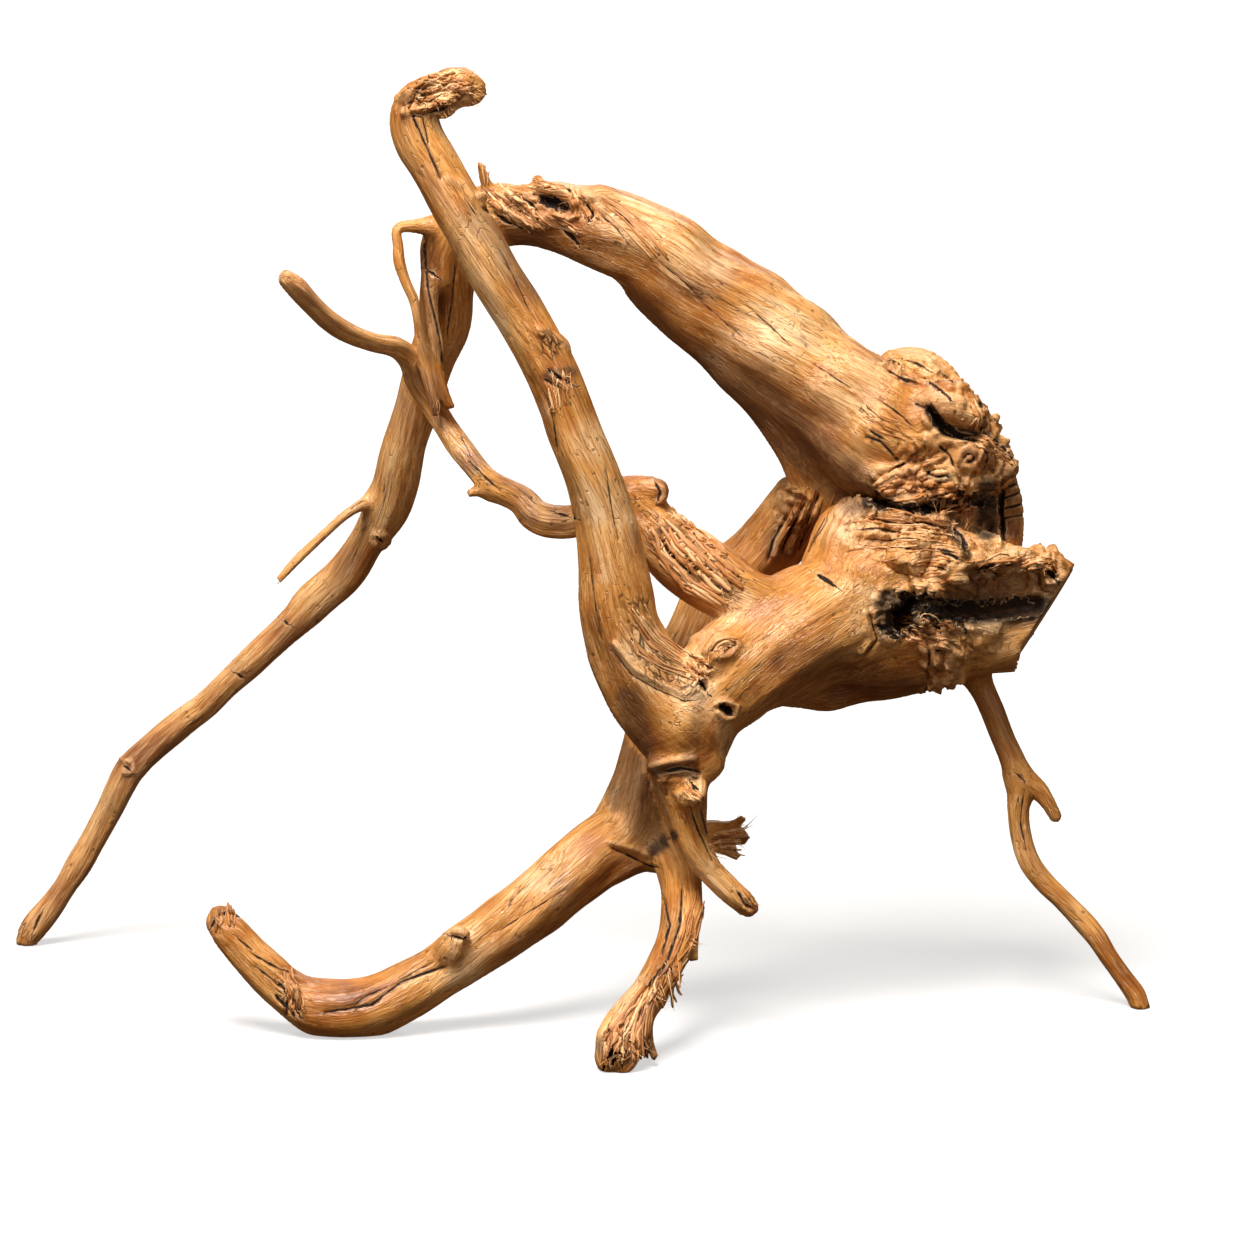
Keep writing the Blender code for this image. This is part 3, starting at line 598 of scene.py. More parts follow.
class Limb:
    """A route that can say how far points lie outside its tube, which way is out, and the relief there."""

    def __init__(self, number, stations, fluting=0):
        self.number = number
        self.centres, self.radii = smooth_route(stations)
        self.along, self.across, self.other = carried_frame(self.centres)
        steps = np.linalg.norm(np.diff(self.centres, axis=0), axis=1)
        self.lengths = np.concatenate([[0], np.cumsum(steps)])
        self.low = (self.centres - self.radii[:, None]).min(axis=0)
        self.high = (self.centres + self.radii[:, None]).max(axis=0)
        if fluting:
            self.charts = [self.flutes() * fluting, self.fibres(), self.stretched(*SPLINTERS)]

    def turned_grid(self, columns):
        """Unit circle points (cos v, sin v) of the chart's columns, turned a little further on each row."""
        turn = np.arange(columns) * 2 * math.pi / columns + self.lengths[:, None] * FLUTE_TWIST
        return np.stack([np.cos(turn), np.sin(turn)], axis=-1)

    def flutes(self):
        """Flutes and knots: two stretched noises, their heights shares of the radius."""
        round_way = self.turned_grid(COARSE_COLUMNS)
        run = np.broadcast_to(self.lengths[:, None, None], (*round_way.shape[:2], 1))
        shift = NOISE_STEP * self.number
        girth = round_way * (self.radii / KNOT_LENGTH)[:, None, None]
        flutes = np.concatenate([round_way * FLUTES_ROUND, run / FLUTE_LENGTH + shift], axis=-1)
        knots = np.concatenate([girth, run / KNOT_LENGTH - shift], axis=-1)
        heights = [
            depth * np.array([noise.noise(spot) for spot in spots.reshape(-1, 3).tolist()])
            for depth, spots in ((FLUTE_DEPTH, flutes), (KNOT_DEPTH, knots))
        ]
        return sum(heights).reshape(run.shape[:2]) * self.radii[:, None]

    def stretched(self, width, length, height, seed):
        """height * (2 |noise| - a bit): valleys where stretched noise passes through 0."""
        round_way = self.turned_grid(FINE_COLUMNS) * self.radii[:, None, None] / (width * MM)
        run = self.lengths[:, None, None] / (length * MM) + NOISE_STEP * self.number
        spots = np.concatenate([round_way, np.broadcast_to(run, (*round_way.shape[:2], 1))], axis=-1)
        size = np.minimum(1, self.radii / FULL_RELIEF_RADIUS)[:, None]
        return height * MM * size * (2 * np.abs(rough_noise(spots, seed)) - VALLEY)

    def fibres(self):
        """The fibres' sizes added up, less a few long checks: narrow clefts where more noise passes 0."""
        raised = sum(self.stretched(*fibre) for fibre in FIBRES)
        width, length, depth, seed = CHECKS
        cleft = self.stretched(width, length, 1, seed) / MM + VALLEY
        gate = self.stretched(2 * width, length, 1, seed + 1) / MM
        size = np.minimum(1, self.radii / FULL_RELIEF_RADIUS)[:, None]
        open_share = (1 - smooth(0, CHECK_HALF, cleft / size)) * smooth(*CHECK_WHERE, gate / size)
        return raised - depth * MM * size * open_share

    def near(self, points):
        """Which points lie in the box round the tube, grown by the reach of the fillets."""
        return np.all((points > self.low - REACH) & (points < self.high + REACH), axis=1)

    def measure(self, points):
        """Distance outside the tube, the unit way out, and where that is: way round, row and run."""
        flat = (points**2).sum(1)[:, None] + (self.centres**2).sum(1) - 2 * points @ self.centres.T
        nearest = np.argmin(np.sqrt(np.maximum(flat, 0)) - self.radii, axis=1)
        centre, way = self.centres[nearest], self.along[nearest]
        ahead = ((points - centre) * way).sum(1).clip(-STATION_STEP / 2, STATION_STEP / 2)
        out = points - centre - way * ahead[:, None]
        far = np.linalg.norm(out, axis=1)
        out /= np.maximum(far, TINY)[:, None]
        turned = np.arctan2((out * self.other[nearest]).sum(1), (out * self.across[nearest]).sum(1))
        where = turned, nearest + ahead / STATION_STEP, self.lengths[nearest] + ahead
        return far - self.radii[nearest], out, where


limbs = [Limb(number, *limb) for number, limb in enumerate(LIMBS)]
print("relief charts:", sum(chart.size for limb in limbs for chart in limb.charts), "values")

# %% [markdown]
# ## Filling the crotches
#
# Where limbs meet, wood flows from one into the other. The distances d to all the tubes are blended
# as -k log(sum of exp(-d / k)), which is the nearest distance far from a crotch and less inside it.
# Moving each point of the skin along the blended way out until that is zero gives smooth fillets.

# %% The skin moved onto the blended limbs
FILLET = 1.6 * MM
FILLET_PASSES = 3
COARSE, FIBRE, SPLINTER = range(3)


def blended(points, over, carved=False):
    """The blended distance, the way out, and the three kinds of relief, each limb by its share."""
    weights = np.zeros(len(points))
    way = np.zeros((len(points), 3))
    heights = np.zeros((3, len(points)))
    for limb in over:
        near = np.flatnonzero(limb.near(points))
        for part in np.array_split(near, 1 + len(near) // CHUNK):
            far, out, (turned, row, _) = limb.measure(points[part])
            share = np.exp(-far / FILLET)
            weights[part] += share
            way[part] += out * share[:, None]
            if carved:
                heights[:, part] += [looked_up(chart, turned, row) * share for chart in limb.charts]
    weights = np.maximum(weights, TINY)
    return -FILLET * np.log(weights), way / weights[:, None], heights / weights


def kept_still(points):
    """How deep points lie in the hollows' walls, in metres, and which of them or of the saw cut stay put."""
    inward = -blended(points, [Limb(0, hollow) for hollow in HOLLOWS])[0]
    beyond = points - place(*SAW_POINT)
    before_cut = beyond @ SAW_FACES
    beside = np.linalg.norm(beyond - before_cut[:, None] * SAW_FACES, axis=1)
    sawn = (before_cut > -SKIN_VOXEL) & (beside < SAW_BOX / 2)
    return inward, sawn, (inward > -SKIN_VOXEL) | sawn


def points_of(mesh):
    """The mesh's points, one to a row."""
    points = np.empty(len(mesh.vertices) * 3, np.float32)
    mesh.vertices.foreach_get("co", points)
    return points.reshape(-1, 3).astype(float)


points = points_of(skin)
inward, sawn, still = kept_still(points)
for _ in range(FILLET_PASSES):
    far, way, _ = blended(points, limbs)
    points -= way * (far * ~still).clip(-FILLET, FILLET)[:, None]
print("points of hollows and saw cut:", still.sum(), "of", len(points))

# %% [markdown]
# ## Where the wood is gnarled, torn or cracked, and where shade and highlights are painted
#
# The crown's broken end is a tangle of wrinkles, several ends are torn to splinters, and one branch
# has dried into a net of cracks. Each such place is a list of soft spots: pixels across and down,
# depth and reach in millimetres. So are the pale and brown spots, which hold bleached and stained wood
# and also painted highlights on lit tops and painted shade in creases and on undersides. Single
# cracks, holes and ridges are drawn as lines on the picture instead, and painted shade, rot, stains
# with painted shade, and bleaching with painted highlights as broad strokes. Both fall on the wood
# that is in front there.

# %% Soft spots
GNARLED = [
    (905, 385, 4, 13), (950, 400, -6, 18), (985, 440, -12, 20), (925, 470, -24, 17), (965, 480, -18, 16),
    (900, 510, -26, 15), (945, 535, -28, 20), (905, 560, -36, 15), (985, 560, -24, 15),
    (1040, 570, -20, 14), (915, 600, -38, 17), (950, 625, -32, 17), (940, 665, -26, 12),
    (870, 520, -26, 13), (850, 545, -30, 9), (800, 500, 4, 14), (832, 480, 6, 12), (770, 540, 8, 10),
    (440, 100, -48, 8), (420, 98, -50, 7), (462, 88, -46, 6), (690, 785, -62, 5),
]
TORN = [
    (455, 84, -46, 9), (472, 92, -44, 7), (430, 96, -50, 9), (410, 104, -52, 7), (500, 205, 6, 10),
    (530, 200, 4, 10), (555, 200, -2, 11), (586, 206, -4, 9), (560, 374, -64, 5), (228, 930, -52, 7),
    (290, 990, -58, 8), (748, 904, -62, 6), (690, 845, -32, 9), (730, 835, -33, 10), (617, 1048, -102, 11),
    (648, 985, -90, 7), (668, 970, -80, 6), (650, 850, -34, 7), (735, 592, -40, 9), (720, 655, -56, 10),
    (705, 672, -60, 9), (289, 283, -35, 4), (437, 405, 0, 5), (1054, 812, -9, 3), (458, 935, -60, 5),
]
ETCHED = [
    (668, 540, -38, 10), (695, 565, -42, 11), (722, 585, -46, 10), (552, 345, -66, 7), (640, 640, -66, 8),
    (660, 668, -66, 8), (690, 680, -66, 8), (637, 605, -64, 6),
]
# Pale spots: bleached grain, and painted highlights on lit tops
BLEACH_AND_HIGHLIGHT_SPOTS = [
    (640, 650, -66, 12), (690, 690, -66, 12), (845, 525, -28, 12), (870, 560, -34, 10), (900, 540, -32, 8),
    (640, 210, -10, 18), (700, 260, -12, 18), (780, 330, -14, 20), (850, 390, -14, 18), (545, 410, -64, 4),
    (985, 560, -26, 9), (940, 520, -24, 8), (925, 402, -18, 6), (590, 440, -64, 10), (600, 500, -64, 10),
]
# Brown spots: stains, and painted shade in creases and on the undersides of limbs
STAIN_AND_SHADE_SPOTS = [
    (625, 720, -52, 14), (640, 760, -44, 12), (648, 730, -56, 9), (520, 290, -60, 9), (560, 372, -64, 9),
    (760, 600, -40, 14), (850, 680, -14, 16), (920, 690, -10, 14), (690, 800, -58, 9), (820, 430, -12, 12),
    (790, 410, -10, 12), (860, 470, -18, 10), (740, 380, -8, 12), (430, 300, 16, 12), (350, 560, 44, 9),
    (240, 670, 54, 8), (150, 750, 58, 7), (980, 584, -20, 12), (1010, 590, -16, 12), (1000, 640, -14, 8),
    (440, 100, -50, 7), (405, 120, -52, 8), (330, 1010, -60, 9), (630, 870, -40, 9), (560, 890, -46, 12),
    (660, 900, -44, 12), (750, 540, 4, 14), (700, 600, -10, 12), (640, 545, -62, 9), (600, 620, -62, 10),
    (290, 980, -58, 8), (470, 460, -8, 7), (560, 520, -28, 8), (790, 690, -26, 12), (410, 400, 30, 9),
    (1020, 780, -8, 5), (1060, 900, -16, 5), (500, 180, -50, 8), (590, 230, -6, 10), (660, 300, -4, 9),
]


SPOT_CORE = 0.35


def spotted(points, spots):
    """1 in the middle of the nearest spot and 0 beyond its reach, with the smooth step between."""
    share = np.zeros(len(points))
    for across, down, depth, reach in spots:
        far = np.linalg.norm(points - place(across, down, depth), axis=1)
        share = np.maximum(share, 1 - smooth(SPOT_CORE, 1, far / (reach * MM)))
    return share


for name, spots in (("gnarled", GNARLED), ("torn", TORN), ("etched", ETCHED)):
    print(name, "points:", int((spotted(points, spots) > 0.5).sum()))

# %% Cracks, holes and ridges, as lines on the picture
# (half width, depth) in millimetres, then the line's pixels. A depth below 0 raises a ridge.
FRONT_LIMB_MARKS = [
    (0.28, 1.0, [(411, 112), (418, 128), (426, 146), (436, 168), (440, 178)]),
    (0.16, 0.5, [(421, 112), (426, 130), (428, 142)]), (0.16, 0.5, [(462, 190), (474, 212)]),
    (0.2, 0.5, [(548, 402), (554, 424), (558, 452)]), (0.16, 0.4, [(500, 250), (516, 282), (530, 312)]),
    (0.4, 1.0, [(551, 372), (560, 378), (570, 383)]), (0.25, 0.8, [(546, 380), (556, 386)]),
    (0.16, 0.4, [(590, 560), (596, 610), (602, 640)]), (0.16, 0.4, [(606, 470), (612, 510), (618, 540)]),
    (2.4, -0.9, [(450, 180), (462, 186), (470, 196)]), (2.6, -1.0, [(540, 330), (556, 340), (572, 346)]),
    (1.2, -1.0, [(614, 643), (635, 669), (660, 684), (684, 695), (704, 687)]),
    (0.16, 0.5, [(612, 650), (632, 675), (658, 690), (684, 701), (696, 700)]),
]
HOOK_MARKS = [
    (1.6, -1.3, [(400, 100), (412, 90), (428, 82), (446, 78)]),
    (0.5, 1.4, [(404, 106), (418, 98), (434, 92), (448, 90)]),
    (1.3, -1.1, [(404, 114), (420, 108), (436, 102), (452, 100)]),
    (0.5, 1.4, [(414, 116), (430, 112), (444, 108)]), (1.5, -1.2, [(460, 78), (466, 88), (468, 102)]),
]
ARCH_MARKS = [
    (0.2, 0.5, [(815, 365), (832, 376), (850, 388)]), (0.24, 0.6, [(880, 400), (898, 413), (915, 428)]),
    (0.16, 0.4, [(700, 300), (724, 322), (742, 336)]), (0.16, 0.4, [(660, 262), (684, 282), (700, 298)]),
    (0.16, 0.4, [(740, 300), (766, 322), (790, 345)]),
    (0.3, 0.8, [(866, 437), (880, 441), (890, 451), (898, 461)]), (0.3, 0.8, [(872, 432), (882, 438)]),
    (0.2, 0.5, [(868, 408), (880, 418), (888, 422)]), (2.0, 4.5, [(545, 199), (555, 203), (564, 207)]),
    (1.8, -1.8, [(540, 190), (552, 190), (566, 194), (574, 202)]),
    (1.5, -1.8, [(478, 196), (500, 206), (522, 218), (540, 228)]),
    (0.6, 1.6, [(486, 196), (508, 208), (530, 216)]),
    (1.4, -1.6, [(500, 194), (520, 200), (538, 214), (548, 226)]),
    (0.6, 1.6, [(510, 192), (528, 202), (541, 216)]), (0.6, 1.4, [(484, 208), (506, 220), (528, 230)]),
    (1.2, -1.6, [(556, 214), (568, 220), (578, 216)]), (2.4, -1.6, [(584, 196), (594, 200), (602, 210)]),
    (0.5, 1.2, [(588, 205), (594, 212), (592, 218)]), (0.5, 1.0, [(568, 190), (580, 198), (584, 214)]),
    (0.22, 0.5, [(604, 200), (624, 216), (640, 236)]), (0.2, 0.5, [(600, 214), (616, 228), (630, 246)]),
    (0.5, 1.0, [(560, 226), (572, 236), (578, 244)]),
    (0.3, 0.7, [(424, 240), (428, 290), (438, 330), (444, 370)]),
    (0.25, 0.6, [(456, 256), (452, 300), (446, 340)]), (0.35, 0.8, [(284, 621), (287, 623)]),
    (0.3, 0.7, [(239, 675), (242, 677)]), (0.3, 0.7, [(126, 767), (129, 769)]),
    (0.4, 0.8, [(379, 539), (382, 541)]),
    (1.6, -0.9, [(374, 535), (386, 535), (388, 545), (378, 547), (373, 540)]),
    (0.7, 0.9, [(430, 272), (433, 274)]), (1.1, -0.9, [(122, 760), (132, 762), (134, 772), (124, 773)]),
]
LOBE_MARKS = [
    (0.5, 1.5, [(893, 362), (898, 364)]), (0.35, 1.4, [(907, 361), (916, 363), (925, 368)]),
    (0.4, 1.2, [(945, 376), (951, 381)]), (0.4, 1.0, [(884, 368), (900, 378), (920, 384)]),
    (0.4, 1.0, [(926, 380), (940, 390), (950, 398)]), (4.6, -2.4, [(932, 400), (950, 404), (970, 414)]),
    (2.2, -1.8, [(920, 400), (926, 402)]), (0.3, 0.8, [(917, 404), (924, 408), (931, 404)]),
    (1.9, 5.0, [(931, 411), (937, 421), (947, 430), (961, 435), (975, 437)]),
    (1.6, -1.4, [(924, 418), (932, 430), (944, 440), (962, 444)]), (0.7, 1.6, [(980, 404), (981, 408)]),
    (0.7, 1.6, [(984, 415), (984, 419)]), (0.7, 1.6, [(982, 427), (980, 431)]),
    (0.7, 1.4, [(986, 434), (989, 437)]), (0.7, 1.4, [(994, 440), (997, 443)]),
    (0.7, 1.4, [(1002, 447), (1005, 450)]), (0.7, 1.4, [(1008, 454), (1011, 458)]),
    (2.2, -1.5, [(982, 440), (998, 449), (1012, 459), (1014, 467)]),
    (1.3, -0.8, [(958, 458), (962, 450), (971, 448), (979, 453), (979, 461), (971, 466), (962, 465),
     (958, 458)]),
    (0.35, 0.8, [(964, 458), (967, 454), (973, 455), (974, 460), (968, 462)]),
    (0.3, 0.6, [(940, 446), (950, 456), (954, 466)]), (0.3, 0.6, [(984, 448), (988, 458), (984, 468)]),
    (3.0, -2.0, [(948, 484), (974, 483), (998, 476), (1012, 468)]),
    (1.6, -1.7, [(883, 488), (892, 479), (902, 471), (915, 467)]),
    (1.6, -1.8, [(892, 497), (903, 492), (915, 494)]),
    (1.5, -1.6, [(917, 470), (926, 477), (935, 480), (946, 479)]),
    (1.5, -1.8, [(907, 480), (913, 487), (922, 492), (933, 493)]),
    (1.4, -1.5, [(936, 466), (946, 470), (956, 475)]), (1.5, -1.7, [(940, 489), (950, 493), (960, 491)]),
    (1.4, -1.6, [(922, 500), (938, 501), (952, 498)]), (1.3, -1.3, [(872, 474), (880, 482), (884, 494)]),
    (0.9, 2.4, [(903, 477), (911, 482), (916, 488)]), (1.0, 2.6, [(921, 484), (931, 487), (942, 485)]),
    (0.8, 2.0, [(929, 473), (942, 475)]), (0.7, 1.8, [(896, 487), (905, 485)]),
    (0.7, 1.8, [(934, 497), (944, 495)]), (0.7, 1.8, [(889, 474), (896, 468), (904, 464)]),
    (0.6, 1.4, [(876, 492), (884, 500), (896, 502)]),
    (1.8, 4.0, [(866, 501), (885, 506), (905, 509), (935, 509)]),
    (2.4, 4.5, [(954, 497), (966, 500), (978, 500)]), (0.9, 2.5, [(1003, 480), (1001, 508), (1004, 545)]),
    (0.3, 0.8, [(1005, 488), (1016, 484)]), (0.3, 0.8, [(1005, 498), (1019, 493)]),
    (0.3, 0.8, [(1005, 508), (1022, 504)]), (0.3, 0.8, [(1005, 518), (1023, 515)]),
    (2.0, -1.6, [(994, 530), (1001, 534)]),
]
STUMP_MARKS = [
    (2.4, -1.6, [(838, 513), (846, 503), (854, 499), (864, 507), (880, 513), (904, 516), (930, 519),
     (952, 522)]),
    (0.35, 0.9, [(862, 522), (880, 520), (900, 525), (922, 522), (945, 528)]),
    (0.35, 0.9, [(858, 530), (878, 528), (898, 533), (920, 530), (950, 536)]),
    (0.35, 0.9, [(866, 539), (886, 541), (905, 538), (925, 541), (948, 544)]),
    (0.35, 0.9, [(882, 549), (898, 546), (915, 550), (938, 549), (958, 553)]),
    (1.2, -1.0, [(866, 526), (890, 524), (912, 528), (940, 526)]),
    (1.2, -1.0, [(868, 535), (890, 537), (914, 534), (944, 540)]),
    (1.2, -1.0, [(886, 545), (908, 543), (930, 546), (954, 548)]), (3.0, -2.2, [(914, 560), (917, 566)]),
    (2.4, -1.8, [(929, 572), (932, 577)]), (2.0, -1.5, [(898, 556), (902, 560)]),
    (1.3, -1.5, [(935, 568), (940, 562), (947, 565), (947, 572), (940, 574), (935, 568)]),
    (0.6, 1.4, [(940, 568), (943, 569)]), (1.8, -1.5, [(952, 580), (958, 584)]),
    (0.8, 2.0, [(955, 530), (962, 538), (966, 548)]), (0.8, 2.0, [(944, 552), (956, 558)]),
    (1.7, -1.9, [(960, 579), (982, 573), (1006, 569), (1034, 563), (1052, 556)]),
    (1.4, -1.2, [(962, 566), (988, 561), (1016, 557), (1040, 552)]),
    (0.5, 1.2, [(966, 572), (990, 566), (1020, 562)]),
    (1.6, -1.7, [(1045, 566), (1052, 560), (1060, 566), (1061, 576), (1054, 583), (1047, 578)]),
    (1.5, 3.5, [(1050, 570), (1053, 575)]),
    (3.4, 6.5, [(908, 607), (932, 611), (962, 611), (1000, 609), (1036, 605)]),
    (2.4, -2.2, [(929, 584), (932, 587)]), (2.2, -2.2, [(917, 607), (922, 612)]),
    (2.2, -2.0, [(948, 612), (953, 616)]), (2.0, -2.0, [(904, 617), (909, 621)]),
    (1.9, 4.5, [(904, 597), (911, 601)]), (1.9, 4.5, [(886, 629), (895, 633)]),
    (1.2, 3.0, [(924, 596), (930, 598)]), (1.2, 3.0, [(938, 598), (944, 602)]),
    (1.1, 2.6, [(910, 630), (916, 634)]), (1.1, 2.6, [(933, 622), (937, 628)]),
    (1.1, 2.4, [(960, 622), (964, 628)]), (1.4, 3.0, [(894, 612), (898, 620)]),
    (3.4, -2.6, [(941, 638), (944, 642)]), (2.6, -1.9, [(955, 646), (958, 650)]),
    (0.25, 0.8, [(936, 650), (946, 652)]), (3.0, -1.5, [(950, 655), (955, 668), (950, 684)]),
    (1.6, -1.5, [(924, 664), (927, 667)]), (1.6, -1.4, [(933, 674), (936, 678)]),
    (1.6, -1.4, [(941, 684), (945, 688)]), (1.5, -1.4, [(955, 675), (958, 679)]),
    (0.18, 0.8, [(870, 615), (877, 640), (865, 655)]), (2.2, -2.0, [(933, 652), (936, 655)]),
    (2.4, -2.2, [(947, 662), (950, 666)]), (2.0, -1.8, [(958, 672), (960, 677)]),
    (2.2, -2.0, [(932, 684), (938, 690)]), (2.2, -1.9, [(950, 688), (956, 692)]),
    (2.0, -1.8, [(922, 646), (925, 652)]), (2.0, -1.8, [(960, 654), (963, 658)]),
    (2.2, -1.8, [(968, 614), (972, 620)]), (0.2, 0.6, [(928, 646), (930, 660), (926, 672)]),
    (1.2, -1.0, [(864, 612), (870, 640), (860, 652)]), (0.9, -1.0, [(972, 630), (975, 632)]),
    (0.9, -1.0, [(990, 650), (993, 652)]), (0.6, 2.0, [(819, 576), (828, 581), (836, 587)]),
    (0.9, -0.8, [(816, 572), (828, 575), (840, 586), (830, 588), (818, 580), (816, 572)]),
]
TRUNK_MARKS = [
    (1.1, 2.8, [(702, 684), (705, 689)]),
    (1.1, -1.0, [(698, 680), (706, 678), (711, 686), (707, 695), (699, 692)]),
    (1.5, 3.6, [(723, 707), (729, 711)]),
    (1.2, -1.1, [(716, 704), (726, 700), (737, 706), (736, 716), (724, 719), (717, 712)]),
    (1.3, -0.8, [(708, 650), (718, 641), (732, 639), (740, 644), (730, 655), (716, 657)]),
    (0.25, 0.7, [(713, 650), (721, 646), (733, 645), (726, 651)]),
    (0.4, 1.0, [(690, 655), (700, 664), (712, 668)]), (0.4, 1.0, [(682, 664), (694, 674), (706, 676)]),
    (0.8, -0.8, [(686, 660), (697, 669), (709, 672)]), (1.4, -1.0, [(690, 640), (704, 634), (716, 632)]),
    (1.8, -1.4, [(652, 766), (672, 760), (694, 758)]), (0.4, 1.0, [(660, 773), (680, 768), (700, 772)]),
    (1.4, -1.2, [(686, 782), (694, 776), (702, 782), (703, 794), (696, 800), (688, 795)]),
    (0.9, 1.8, [(694, 786), (697, 790)]), (0.2, 0.5, [(690, 806), (698, 830), (712, 860)]),
    (0.2, 0.5, [(700, 806), (706, 830), (720, 862)]),
    (0.2, 0.7, [(612, 848), (630, 856), (650, 866), (660, 868)]),
    (1.5, -1.0, [(610, 842), (630, 848), (650, 854)]), (0.4, 1.0, [(804, 506), (790, 530), (782, 552)]),
    (0.4, 1.0, [(818, 496), (808, 520), (800, 548)]), (1.4, -1.0, [(811, 500), (799, 526), (790, 552)]),
    (1.4, -1.0, [(796, 510), (782, 534), (774, 556)]), (0.4, 1.0, [(790, 512), (774, 538), (768, 560)]),
]
BRANCH_MARKS = [
    (1.2, -1.0, [(640, 484), (652, 480), (662, 486), (664, 496), (658, 502)]),
    (0.35, 0.9, [(656, 484), (661, 492), (658, 500)]), (0.4, 0.9, [(560, 514), (574, 518)]),
    (0.3, 0.7, [(470, 462), (484, 476), (500, 490)]), (0.5, 1.2, [(684, 526), (706, 550), (726, 568)]),
    (0.5, 1.2, [(660, 540), (680, 566), (706, 584)]),
]
LOW_MARKS = [
    (0.3, 0.9, [(326, 1012), (348, 1009), (372, 1005), (386, 994), (400, 983), (422, 974), (444, 967)]),
    (0.2, 0.6, [(400, 980), (418, 970), (433, 962)]), (0.2, 0.6, [(356, 1004), (366, 996), (380, 990)]),
    (0.5, 1.2, [(282, 972), (290, 990), (286, 1014)]),
    (0.3, 0.8, [(250, 952), (266, 962), (282, 970), (296, 974)]),
    (0.3, 0.8, [(255, 966), (270, 978), (284, 990)]), (0.25, 0.6, [(240, 940), (252, 950)]),
    (0.35, 1.0, [(212, 926), (218, 916), (228, 912), (238, 916)]),
    (0.6, 1.5, [(280, 984), (290, 996), (298, 1012)]), (1.2, -1.2, [(284, 976), (296, 990), (304, 1010)]),
    (0.4, 1.0, [(276, 996), (286, 1006), (294, 1016)]), (0.16, 0.4, [(500, 930), (540, 905), (566, 889)]),
    (1.4, -1.0, [(446, 936), (456, 930), (466, 934)]), (0.6, 1.4, [(452, 936), (460, 938)]),
    (0.3, 0.8, [(664, 900), (670, 925), (662, 955)]),
    (0.35, 0.9, [(682, 890), (680, 925), (668, 960), (650, 990)]),
    (0.4, 1.2, [(660, 970), (644, 994), (630, 1016)]), (1.0, -1.1, [(668, 966), (650, 992), (636, 1016)]),
    (0.2, 0.5, [(1024, 792), (1020, 820), (1026, 850)]), (0.3, 0.8, [(1019, 776), (1022, 779)]),
    (0.4, 1.0, [(739, 894), (744, 904), (752, 908)]), (0.3, 0.7, [(40, 916), (34, 930)]),
]
MARKS = [
    *FRONT_LIMB_MARKS, *HOOK_MARKS, *ARCH_MARKS, *LOBE_MARKS, *STUMP_MARKS, *TRUNK_MARKS, *BRANCH_MARKS,
    *LOW_MARKS,
]
print("marks:", len(MARKS), "of them ridges:", sum(depth < 0 for _, depth, _ in MARKS))

# %% Broad strokes of painted shade, gnarled wood, char, stain with painted shade, and bleaching with painted highlight
# (reach in pixels, share, line)
# Painted shade: near-black in the crown's hollow and slot, brown under the arch, in crotches and under ledges
PAINTED_SHADE_STROKES = [
    (19, 1.0, [(905, 608), (940, 611), (990, 611), (1042, 608)]), (15, 0.9, [(888, 600), (886, 628)]),
    (9, 1.0, [(898, 632), (914, 628)]), (8, 1.0, [(866, 503), (900, 508), (935, 508)]),
    (10, 1.0, [(935, 504), (965, 505), (985, 500)]),
    (34, 0.66, [(700, 372), (770, 412), (805, 448), (855, 490)]),
    (40, 0.50, [(520, 258), (600, 306), (660, 356), (730, 420)]), (7, 0.7, [(548, 376), (572, 372)]),
    (24, 0.35, [(790, 660), (850, 668), (900, 690)]), (24, 0.70, [(672, 544), (692, 558), (716, 580)]),
    (9, 0.95, [(653, 850), (662, 843), (672, 836)]), (9, 0.8, [(656, 772), (676, 770), (694, 774)]),
    (28, 0.6, [(634, 745), (640, 790), (652, 832)]), (8, 1.0, [(930, 410), (945, 431), (975, 437)]),
    (13, 0.75, [(888, 488), (910, 484), (945, 484)]), (17, 0.45, [(470, 215), (500, 240), (530, 262)]),
    (16, 0.6, [(610, 760), (618, 800)]), (6, 0.9, [(948, 530), (962, 545), (968, 556)]),
    (13, 0.5, [(890, 612), (920, 622), (950, 640)]), (10, 0.45, [(404, 98), (420, 92), (442, 90)]),
    (22, 0.4, [(790, 505), (780, 545)]), (16, 0.45, [(425, 240), (430, 300), (430, 350)]),
    (7, 0.6, [(222, 912), (214, 924)]), (16, 0.75, [(606, 1046), (625, 1052), (645, 1048)]),
    (18, 0.55, [(638, 730), (628, 700)]), (10, 0.5, [(700, 700), (690, 760)]),
]
GNARLED_STROKES = [
    (26, 1.0, [(925, 600), (945, 640), (942, 690)]), (24, 0.9, [(885, 484), (950, 488)]),
    (26, 0.75, [(862, 530), (950, 545)]), (20, 0.6, [(890, 366), (930, 374), (955, 392)]),
    (20, 0.8, [(885, 600), (890, 632)]), (16, 0.7, [(965, 575), (1045, 565)]),
    (14, 0.6, [(652, 780), (690, 795)]), (16, 0.8, [(935, 500), (978, 500)]),
    (14, 0.5, [(965, 440), (1012, 462)]),
]
CHARRED_STROKES = [
    (15, 1.0, [(988, 488), (988, 512), (986, 530)]), (14, 0.55, [(1013, 478), (1014, 528)]),
]
